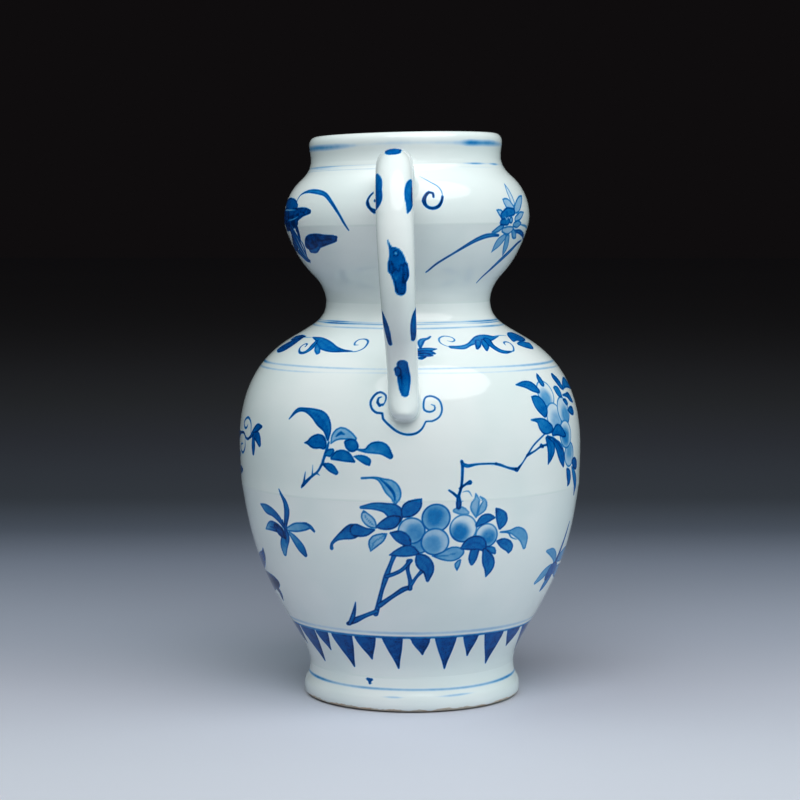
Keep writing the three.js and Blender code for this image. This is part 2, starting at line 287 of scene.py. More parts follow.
# Handles: rolled clay, one at the front and one at the back. Each rises from inside the small bulb's
# wall over an arch, draws in down its column, and lies against the shoulder with a rounded tip.
handleShape = dict(
    acrossTop=13.8, taperFrom=0.4, acrossFoot=11.4, deepTop=12.0, deepFoot=10.4, tip=1.8, lead=4.0,
    blunt=(0.6, 0.3), skew=-0.028, level=160.0, around=84, along=250, sink=0.8, steps=120,
    rootRuns=(-2, 26, 0.05), rootIn=0.4, leastSide=0.05, pressedBelow=outline[3]["height"],
    route=[
        dict(radius=42.5, height=199.0, lean=42, pulls=(0, 0.35)),
        dict(radius=54.67, height=213.1, lean=90, pulls=(0.4, 0.4)),
        dict(radius=78.1, height=179.0, lean=180, pulls=(0.34, 0.36)),
        dict(radius=72.07, height=149.85, lean=212, pulls=(0.34, 0.42)),
        dict(radius=66.0, height=130.6, lean=180, pulls=(0.22, 0.28)),
        dict(radius=68.7, height=118.7, lean=161, pulls=(0.45, 0)),
    ],
)
handlePath, _ = curveThrough(handleShape["route"], handleShape["steps"])
handleRuns = runsOf(handlePath)
handleAlong = alongCurve(handlePath)


def handleHalves(run):
    share = smoothStep(0, handleRuns[-1], run)
    late = smoothStep(handleShape["taperFrom"] * handleRuns[-1], handleRuns[-1], run)
    across = handleShape["acrossTop"] + (handleShape["acrossFoot"] - handleShape["acrossTop"]) * late
    deep = handleShape["deepTop"] + (handleShape["deepFoot"] - handleShape["deepTop"]) * share
    return across / 2, deep / 2


def sideClosing(beyond):
    # the sides draw together from a little before the end of the course
    share = np.clip((beyond + handleShape["lead"]) / (handleShape["tip"] + handleShape["lead"]), 0, 1)
    return np.maximum(1 - share ** 2, 0) ** (handleShape["blunt"][0] / 2)


def handlePlace(run, angle):
    # a place on the clay: how far to its side, how far out from the wheel's axis, and how high.
    # Past the end of its course the rod closes in a rounded tip, a quarter turn long.
    across, deep = handleHalves(run)
    within = np.clip(run, 0, handleRuns[-1])
    turn = np.clip((run - handleRuns[-1]) / handleShape["tip"], 0, math.pi / 2)
    reach, height = (np.interp(within, handleRuns, handlePath[:, i]) for i in (0, 1))
    alongReach, alongHeight = (np.interp(within, handleRuns, handleAlong[:, i]) for i in (0, 1))
    outBy = np.sin(angle) * deep * np.cos(turn) ** handleShape["blunt"][1]
    beyond = np.sin(turn) * handleShape["tip"] + np.minimum(run, 0)
    sideBy = np.cos(angle) * across * sideClosing(np.where(turn > 0, beyond, run - handleRuns[-1]))
    return (sideBy, reach - alongHeight * outBy + alongReach * beyond,
            height + alongReach * outBy + alongHeight * beyond)


def handleLevel(side, reach, height):
    # under 1 inside the clay, and 1 on its skin
    far = (reach[..., None] - handlePath[:, 0]) ** 2 + (height[..., None] - handlePath[:, 1]) ** 2
    near = np.argmin(far, axis=-1)
    across, deep = handleHalves(handleRuns[near])
    alongReach, alongHeight = handleAlong[near, 0], handleAlong[near, 1]
    offReach, offHeight = reach - handlePath[near, 0], height - handlePath[near, 1]
    before = handleRuns[near] - handleRuns[-1]
    beyond = np.where(near == len(handlePath) - 1, offReach * alongReach + offHeight * alongHeight, before)
    closing = np.sqrt(np.clip(1 - (np.maximum(beyond, 0) / handleShape["tip"]) ** 2, 1e-4, 1))
    sideHalf = across * np.maximum(sideClosing(beyond), handleShape["leastSide"])
    outHalf = deep * closing ** handleShape["blunt"][1]
    level = np.hypot(side / sideHalf, (offHeight * alongReach - offReach * alongHeight) / outHalf)
    return np.where(beyond < handleShape["tip"], level, beyond)


def leavingRun(angle):
    # how far along the rod each of its sides comes out of the bulb's wall
    runs = np.arange(*handleShape["rootRuns"])
    side, reach, height = handlePlace(runs[None, :], angle[:, None])
    clear = np.hypot(side, reach) - (radiusAt(height) - handleShape["sink"]) > 0
    return runs[np.argmax(clear, axis=1)]


def placeOnSide(side, reach, height, front):
    # turns a rod place into one of the vase, on the front or on the back
    turn = 1 if front else -1
    x = turn * side + turn * handleShape["skew"] * (height - handleShape["level"])
    return settle(x, -turn * reach, height)


def handlePiece(name, front):
    count = handleShape["along"]
    chart = {}

    def placeAt(around, along):
        angle = around * 2 * math.pi
        row = np.round(along * count)
        start = leavingRun(angle)
        whole = handleRuns[-1] + handleShape["tip"] * math.pi / 2 - start
        run = start + whole * np.clip((row - 1) / (count - 1), 0, 1)
        side, reach, height = handlePlace(run, angle)
        middle = leavingRun(np.array([0.0])) - handleShape["rootIn"]
        reachMiddle, heightMiddle = (np.interp(middle, handleRuns, handlePath[:, i]) for i in (0, 1))
        side, reach, height = (np.where(row == 0, v, w) for v, w in
                               ((0.0, side), (reachMiddle, reach), (heightMiddle, height)))
        # the back of the lower end is pressed flat just under the shoulder's surface
        pressed = (radiusAt(height) - handleShape["sink"]) / np.hypot(side, reach)
        pressed = np.where(height < handleShape["pressedBelow"], np.maximum(pressed, 1), 1)
        chart.update(angle=angle, run=run)
        return np.stack(placeOnSide(side * pressed, reach * pressed, height, front), 1)

    piece = sheetPiece(name, handleShape["around"], count, placeAt)
    paintHandle(piece, **chart)
    editAll(piece, joinDoubles)
    return piece


# Slip round each root: a fillet that climbs the clay and spreads over the wall, uneven as if smoothed
# by a finger. Directions go round the root's middle, as the wall is seen from outside.
rootSlips = dict(
    upper=dict(middle=203.4, climb=3.6, spread=2.6, sink=0.25),
    lower=dict(middle=124.0, climb=1.6, spread=1.3, sink=0.2),
    around=84, rounds=9, farthest=20.0, step=0.1, slopeStep=0.2, buriedBack=0.8, buriedUnder=0.5,
    climbWaves=[(2, 1, 0.12), (5, 0, 0.08)], spreadWaves=[(3, 2, 0.14), (4, 0, 0.08)],
)


def overWall(direction, far, lift, middle):
    # a place this far from the root's middle, lifted off the wall
    side, height = np.cos(direction) * far, middle + np.sin(direction) * far
    step = rootSlips["slopeStep"]
    slope = (radiusAt(height + step) - radiusAt(height - step)) / (2 * step)
    radius = radiusAt(height) + lift * np.sqrt(1 + slope ** 2)
    return side, np.sqrt(np.maximum(radius ** 2 - side ** 2, 1)), height


def edgeOfClay(direction, lift, middle):
    # how far from the root's middle the handle's skin is crossed, at this lift off the wall
    far = np.arange(0, rootSlips["farthest"], rootSlips["step"])
    level = handleLevel(*overWall(direction[:, None], far[None, :], lift[:, None], middle))
    last = len(far) - 1 - np.argmax(level[:, ::-1] < 1, axis=1)
    last = np.minimum(last, len(far) - 2)
    rows = np.arange(len(direction))
    low, high = level[rows, last], level[rows, last + 1]
    return far[last] + rootSlips["step"] * np.clip((1 - low) / (high - low), 0, 1)


def rootSlipPiece(name, front, upper):
    shape = rootSlips["upper" if upper else "lower"]
    middle, sink, rounds = shape["middle"], shape["sink"], rootSlips["rounds"]
    loop = rounds + 1

    def placeAt(around, along):
        turns, back = np.unique(np.round(around * rootSlips["around"]), return_inverse=True)
        turns = turns / rootSlips["around"] * 2 * math.pi
        climb = shape["climb"] * (1 + waves(turns, 1, rootSlips["climbWaves"]))
        spread = shape["spread"] * (1 + waves(turns, 1, rootSlips["spreadWaves"]))
        level = np.zeros(len(turns))
        corner = edgeOfClay(turns, level, middle)
        top = edgeOfClay(turns, climb, middle)
        onWall, atCorner, onClay, buried = (
            np.stack(overWall(turns, far, lift, middle), 1)[back] for far, lift in (
                (corner + spread, level - sink), (corner, level), (top - sink / 2, climb),
                (corner - rootSlips["buriedBack"], level - rootSlips["buriedUnder"])))
        step = np.round(along * loop) % loop
        t = np.clip(step / (rounds - 1), 0, 1)[:, None]
        places = (1 - t) ** 2 * onWall + 2 * (1 - t) * t * atCorner + t ** 2 * onClay
        places = np.where((step == rounds)[:, None], buried, places)
        return np.stack(placeOnSide(*places.T, front), 1)

    piece = sheetPiece(name, rootSlips["around"], loop, placeAt)
    editAll(piece, joinDoubles)
    return piece


# Painting in cobalt. A mark lies flat in millimetres round the place where its group is anchored:
# across to the right, and up along the wall. Tone runs from 0, bare glaze, to 1, the darkest blue.
# The brush gives the step along a mark and its least half width, how full a wash is laid, how a line
# tapers, where cobalt pools inside a mark's edge, where across and along a leaf its rib is drawn,
# where a fruit's tone turns from core to rim, and how far past its places a mark is looked for.
brush = dict(step=0.8, least=0.08, full=0.82, taper=4, tapered=1.15, narrowest=0.4, pool=(-0.8, -0.3),
             leastSide=0.2, ribAcross=(0.3, 0.12), ribFrom=(0.02, 0.1), ribTo=(0.95, 0.8), bloom=(0.3, 1.0),
             margin=1.5)


def smoothPlaces(places):
    # a smooth curve through the places, in short steps
    places = np.array(places, float)
    if len(places) < 3:
        return places
    ends = np.vstack([2 * places[0] - places[1], places, 2 * places[-1] - places[-2]])
    out = []
    for a, b, c, d in zip(ends, ends[1:], ends[2:], ends[3:]):
        for t in np.linspace(0, 1, max(2, int(np.hypot(*(c - b)[:2]) / brush["step"]) + 1))[:-1]:
            out.append(0.5 * (2 * b + (c - a) * t + (2 * a - 5 * b + 4 * c - d) * t ** 2
                              + (3 * b - a - 3 * c + d) * t ** 3))
    out = np.array(out + [places[-1]])
    out[:, 2] = np.maximum(out[:, 2], brush["least"])
    return out


def wash(*places, tone=(0.7, 0.7), full=brush["full"], edge=0.27, rib=0.0, shade=0.0, soft=0.3):
    # a filled brush mark; places are across, up and half its width
    return dict(kind="wash", places=smoothPlaces(places), tone=[full * t for t in tone], edge=edge, rib=rib,
                shade=shade, soft=soft)


def line(*places, half=0.32, tone=0.75, soft=0.25):
    # a thin drawn line that tapers at both ends
    off = np.abs(2 * np.linspace(0, 1, len(places)) - 1)
    widths = half * np.clip(brush["tapered"] - off ** brush["taper"], brush["narrowest"], 1)
    drawn = [(x, y, w) for (x, y), w in zip(places, widths)]
    return wash(*drawn, tone=(tone, tone), full=1, edge=0, soft=soft)


def fruit(x, y, size, core=0.5, rim=0.2, towards=(0, 0)):
    return dict(kind="fruit", places=np.array([(x, y, size)]), core=core, rim=rim, towards=towards, soft=0.3,
                edge=0.46)


def markGap(places, x, y):
    # distance outside a mark's edge, the share along it, and the side that a point lies on
    gap = np.full(x.shape, np.inf)
    share, side = np.zeros(x.shape), np.zeros(x.shape)
    if len(places) == 1:
        return np.hypot(x - places[0, 0], y - places[0, 1]) - places[0, 2], share, side
    for i, (a, b) in enumerate(zip(places, places[1:])):
        dx, dy = b[0] - a[0], b[1] - a[1]
        t = np.clip(((x - a[0]) * dx + (y - a[1]) * dy) / max(dx * dx + dy * dy, 1e-9), 0, 1)
        offX, offY = x - a[0] - t * dx, y - a[1] - t * dy
        far = np.hypot(offX, offY)
        half = a[2] + (b[2] - a[2]) * t
        closer = far - half < gap
        gap = np.where(closer, far - half, gap)
        share = np.where(closer, (i + t) / (len(places) - 1), share)
        turned = np.sign(dx * offY - dy * offX) * far
        side = np.where(closer, turned / np.maximum(half, brush["leastSide"]), side)
    return gap, share, side


def gapOf(mark, x, y):
    gap, share, side = markGap(mark["places"], x, y)
    if "ceiling" in mark:
        gap = np.maximum(gap, y - mark["ceiling"])
    return gap, share, side


def markTone(mark, x, y, gap, share, side):
    if mark["kind"] == "fruit":
        cx, cy, size = mark["places"][0]
        off = np.hypot(x - cx - mark["towards"][0], y - cy - mark["towards"][1]) / size
        tone = mark["core"] + (mark["rim"] - mark["core"]) * smoothStep(*brush["bloom"], off)
    else:
        tone = mark["tone"][0] + (mark["tone"][1] - mark["tone"][0]) * share + mark["shade"] * side
        if mark["rib"]:
            drawn = smoothStep(*brush["ribAcross"], np.abs(side * np.maximum(brush["leastSide"], -gap)))
            drawn = drawn * smoothStep(*brush["ribFrom"], share) * smoothStep(*brush["ribTo"], share)
            tone = tone + mark["rib"] * drawn
    return np.clip(tone + mark["edge"] * smoothStep(*brush["pool"], gap), 0, 1)


def laid(cobalt, mark, x, y):
    # the tone at these places once a mark is laid over what is there
    gap, share, side = gapOf(mark, x, y)
    cover = smoothStep(mark["soft"], -mark["soft"], gap)
    return cobalt * (1 - cover) + markTone(mark, x, y, gap, share, side) * cover


def toMarks(group, againScale=1.03):
    # anchors a group's marks, once as given and, where it says so, once more half a turn round
    anchored = []
    for turn in group.get("turns", (0, 180)):
        scale = 1 if turn == 0 else group.get("again", againScale)
        for mark in group["marks"]:
            places = mark["places"] * scale
            reach = places[:, 2].max() + brush["margin"]
            anchored.append(dict(
                mark, places=places, facing=math.radians(group["facing"] + turn),
                run=float(runAt(group["height"])),
                low=places[:, :2].min(0) - reach, high=places[:, :2].max(0) + reach))
    return anchored


def onChart(mark, facing, run, radius):
    # which places lie in a mark's box, and how far across and up from its anchor they are
    across = (facing - mark["facing"] + math.pi) % (2 * math.pi) - math.pi
    x, y = across * radius, run - mark["run"]
    low, high = mark["low"], mark["high"]
    inBox = np.flatnonzero((x > low[0]) & (x < high[0]) & (y > low[1]) & (y < high[1]))
    return inBox, x[inBox], y[inBox]


# How a hand-drawn ring wanders up and down, and how its tone drifts
ringWaves = dict(wobble=[(2, 1, 1.0), (5, 2, 0.5)], drift=[(3, 5, 1.0), (7, 1, 1.0), (11, 3, 0.6)])


def ringGap(ring, facing, run):
    wobble = ring["wobble"] * waves(facing, ring["seed"], ringWaves["wobble"])
    return np.abs(run - float(runAt(ring["height"])) - wobble) - ring["half"]


def ringTone(ring, facing):
    drift = waves(facing, ring["seed"], ringWaves["drift"]) / sum(share for _, _, share in ringWaves["drift"])
    tone = ring["tone"] * (1 + ring["patchy"] * drift)
    for middle, half, more in ring.get("heaps", []):
        off = (np.degrees(facing) - middle + 180) % 360 - 180
        tone = tone + more * np.exp(-(off / half) ** 2)
    return np.clip(tone, 0, 1)


def cobaltAt(facing, run, radius):
    cobalt = np.zeros(facing.shape)
    for ring in ringLines:
        cover = smoothStep(ring["soft"], -ring["soft"], ringGap(ring, facing, run))
        cobalt = np.maximum(cobalt, ringTone(ring, facing) * cover)
    for mark in paintMarks:
        inBox, x, y = onChart(mark, facing, run, radius)
        if len(inBox):
            cobalt[inBox] = laid(cobalt[inBox], mark, x, y)
    return cobalt


# How the mesh is split round the paint. Reaches and the least area are in cells, and the rest is in
# millimetres, but for the front half, which is in degrees. The last round keeps to the marks' edges.
splitting = dict(rounds=3, reach=0.8, ringReach=1.0, lastReach=0.6, lastDepth=1.0, frontHalf=100, leastArea=0.3,
                 lowest=0.5, faceOff=0.25, placeOff=0.06, belowFoot=3, aboveRim=0.01)


def nearPaint(facing, run, radius, cell, last):
    near = np.zeros(facing.shape, bool)
    reach = cell * (splitting["lastReach"] if last else splitting["reach"])
    ringReach = cell * (splitting["lastReach"] if last else splitting["ringReach"])
    for ring in ringLines:
        near |= ringGap(ring, facing, run) < ringReach
    for mark in paintMarks:
        inBox, x, y = onChart(mark, facing, run, radius)
        if len(inBox):
            gap, _, _ = gapOf(mark, x, y)
            deepest = -splitting["lastDepth"] if last and mark["kind"] != "fruit" else -np.inf
            near[inBox] |= (gap < reach) & (gap > deepest)
    return near & (np.abs(facing) < math.radians(splitting["frontHalf"])) if last else near


def chartOf(places):
    return np.arctan2(places[:, 0], -places[:, 1]), runAt(places[:, 2]), np.hypot(places[:, 0], places[:, 1])


def onOutside(places):
    height, radius = places[:, 2], np.hypot(places[:, 0], places[:, 1])
    low = outline[0]["height"] - splitting["belowFoot"]
    high = outline[-1]["height"] + splitting["aboveRim"]
    return (height < high) & (height > low) & (np.abs(radius - radiusAt(height)) < splitting["placeOff"])


def splitFaces(piece, chosen):
    deselect()
    bpy.context.view_layer.objects.active = piece
    piece.select_set(True)
    bpy.ops.object.mode_set(mode="EDIT")
    bpy.ops.mesh.select_all(action="DESELECT")
    bpy.ops.object.mode_set(mode="OBJECT")
    piece.data.polygons.foreach_set("select", chosen)
    bpy.ops.object.mode_set(mode="EDIT")
    bpy.ops.mesh.subdivide(number_cuts=1, ngon=False)
    bpy.ops.object.mode_set(mode="OBJECT")


def refinePaint(piece):
    # splits the outer faces round each mark's edge again and again, and sets them on the true curve
    bpy.context.tool_settings.mesh_select_mode = (False, False, True)
    for turn in range(splitting["rounds"]):
        cell = throwing["row"] / 2 ** turn
        centres, areas = readFaces(piece)
        height = centres[:, 2]
        facing, run, radius = chartOf(centres)
        inBand = (height < outline[-1]["height"]) & (height > splitting["lowest"])
        outer = inBand & (np.abs(radius - radiusAt(height)) < splitting["faceOff"])
        index = np.flatnonzero(outer & (areas > splitting["leastArea"] * cell ** 2))
        last = turn == splitting["rounds"] - 1
        chosen = np.zeros(len(areas), bool)
        chosen[index] = nearPaint(facing[index], run[index], radius[index], cell, last)
        splitFaces(piece, chosen)
        places = readPlaces(piece)
        _, _, radius = chartOf(places)
        scale = np.where(onOutside(places), radiusAt(places[:, 2]) / np.maximum(radius, 1), 1)
        places[:, :2] *= scale[:, None]
        writePlaces(piece, places)


def storeTone(piece, name, tone):
    attribute = piece.data.attributes.new(name, "FLOAT", "POINT")
    attribute.data.foreach_set("value", tone.astype(np.float32))


# Beside two of the seams the wall draws in a little, from this radius on
creases = [
    dict(height=seams["belly"], depth=0.26, reach=9.0),
    dict(height=seams["bulb"], depth=0.14, reach=6.0),
]
creaseFrom = 20


def creaseAt(height):
    drawnIn = 0
    for crease in creases:
        off = np.abs(height - crease["height"]) / crease["reach"]
        drawnIn = drawnIn + crease["depth"] * off * np.exp(1 - off)
    return drawnIn


def paintPiece(piece):
    refinePaint(piece)
    places = readPlaces(piece)
    facing, run, radius = chartOf(places)
    outer = onOutside(places)
    cobalt = np.zeros(len(places))
    cobalt[outer] = cobaltAt(facing[outer], run[outer], radius[outer])
    storeTone(piece, "cobalt", cobalt)
    scale = np.where(radius > creaseFrom, 1 - creaseAt(places[:, 2]) / np.maximum(radius, creaseFrom), 1)
    x, y, z = settle(places[:, 0] * scale, places[:, 1] * scale, places[:, 2])
    writePlaces(piece, np.stack([x, y, z], 1))


def paintHandle(piece, angle, run):
    # on the handles, marks lie across from the outer face and down from the root
    across, deep = handleHalves(run)
    x = ((math.pi / 2 - angle + math.pi) % (2 * math.pi) - math.pi) * (across + deep) / 2
    cobalt = np.zeros(len(angle))
    for mark in handleMarks:
        cobalt = laid(cobalt, mark, x, run)
    storeTone(piece, "cobalt", cobalt)


# The painted groups, each where it stands on the wall; a facing of 0 is the front, 90 the right side
leafSpray = dict(facing=-20, height=80, marks=[
    wash((-5.0, 28.8, 0.5), (-5.6, 33, 1.9), (-8, 36.2, 3.0), (-11.5, 38.3, 2.0), (-16, 39.6, 0.9),
         (-20, 39.2, 0.8), (-24, 35.7, 0.25), tone=(0.88, 0.72), shade=0.06, rib=0.12),
    wash((-7, 26.5, 1.5), (-8.5, 28, 2.7), (-11, 27.6, 2.5), (-13.5, 27.3, 1.0), (-15.6, 27.1, 0.2),
         tone=(0.95, 0.8), rib=0.1),
    wash((-3.6, 27.5, 0.3), (-2, 30, 1.6), (0.5, 31.4, 2.4), (3.5, 30.8, 1.8), (6, 29.6, 0.9),
         tone=(0.4, 0.45), edge=0.35),
    line((-1.5, 30.2), (0.4, 31.6), (1.8, 31.1), half=0.6, tone=0.75),
    wash((2.8, 28, 1.0), (5, 27, 2.5), (6.6, 26.6, 0.8), tone=(0.85, 0.82)),
    wash((-7.2, 20.5, 0.5), (-5.8, 24, 0.6), (-4.6, 27.8, 0.4), tone=(0.75, 0.6)),
    wash((-5.8, 23.3, 0.8), (-4.4, 23.8, 1.5), (-3, 24.8, 0.8), tone=(0.75, 0.8)),
    wash((-3.2, 21.9, 0.7), (-0.5, 23, 2.0), (2.5, 22.8, 2.1), (5.8, 21, 0.5), tone=(0.8, 0.86)),
    wash((7, 25.5, 0.3), (10.5, 25.2, 0.9), (13.5, 26.3, 2.2), (17, 26, 2.3), (19.8, 23.3, 1.1),
         tone=(0.6, 0.8), shade=0.06),
    wash((6, 22.9, 0.3), (8.6, 22.3, 1.3), (11, 21.2, 1.5), (11.7, 20, 0.5), tone=(0.6, 0.82)),
    wash((-7, 19.4, 0.5), (-4, 18.3, 1.6), (-1.7, 16.6, 1.0), tone=(0.82, 0.78), rib=0.12),
    wash((-7, 20.5, 0.5), (-9.5, 16.6, 0.42), (-12.5, 14.4, 0.45), (-16.4, 11.2, 0.65), (-17.5, 9.9, 0.3),
         tone=(0.7, 0.92)),
    wash((-15.4, 16, 0.12), (-15.9, 13.6, 0.35), (-16.5, 11, 0.5), tone=(0.7, 0.9)),
    wash((-11.8, 18.8, 0.1), (-12, 16.6, 0.2), (-12.2, 14.6, 0.4), tone=(0.45, 0.7)),
    line((-12, 15), (-10, 15.8), (-8.8, 15.1), half=0.35, tone=0.75),
])
orchid = dict(facing=-20, height=80, marks=[
    wash((-44.3, 0.7, 0.4), (-40, -0.6, 1.9), (-35.5, -1.7, 1.7), (-31.5, -4, 1.3), (-29, -7, 0.6),
         tone=(0.62, 0.95), edge=0.26),
    wash((-42.5, -9.2, 0.3), (-38, -7.4, 2.0), (-34, -7.6, 2.0), (-31, -8.5, 1.5), tone=(0.36, 1.05),
         edge=0.3),
    wash((-30.8, -18, 1.2), (-30.5, -14.5, 2.3), (-28.6, -11, 2.2), (-28, -8.5, 1.0), tone=(0.5, 0.95),
         edge=0.28),
    wash((-18.8, -17.2, 1.0), (-20.6, -14.5, 2.0), (-23.5, -11.2, 1.6), (-26, -9, 0.7), tone=(0.86, 0.5),
         edge=0.25),
    wash((-13, -7, 0.5), (-14.8, -5.4, 0.9), (-17.5, -5.6, 1.6), (-22, -6.3, 1.9), (-26.5, -7.4, 1.0),
         tone=(0.7, 0.42), edge=0.34),
    line((-14.6, -5.6), (-16.4, -4.2), (-18.6, -4.2), half=0.4, tone=0.85),
    wash((-30, 8.2, 0.2), (-28.3, 5.6, 0.7), (-26.8, 3, 1.2), (-26.4, -0.5, 1.5), (-27.8, -5.5, 1.0),
         (-28.8, -9, 0.6), tone=(0.72, 1.0)),
    wash((-35, -6.8, 0.8), (-32, -8.8, 2.0), (-29.4, -10.6, 1.3), tone=(1.05, 1.2)),
    line((-29.4, -4), (-28.6, -9), (-28.9, -13.4), half=0.5, tone=0.9),
    line((-31, -9), (-35, -8), (-38.5, -7.8), half=0.4, tone=0.85),
])
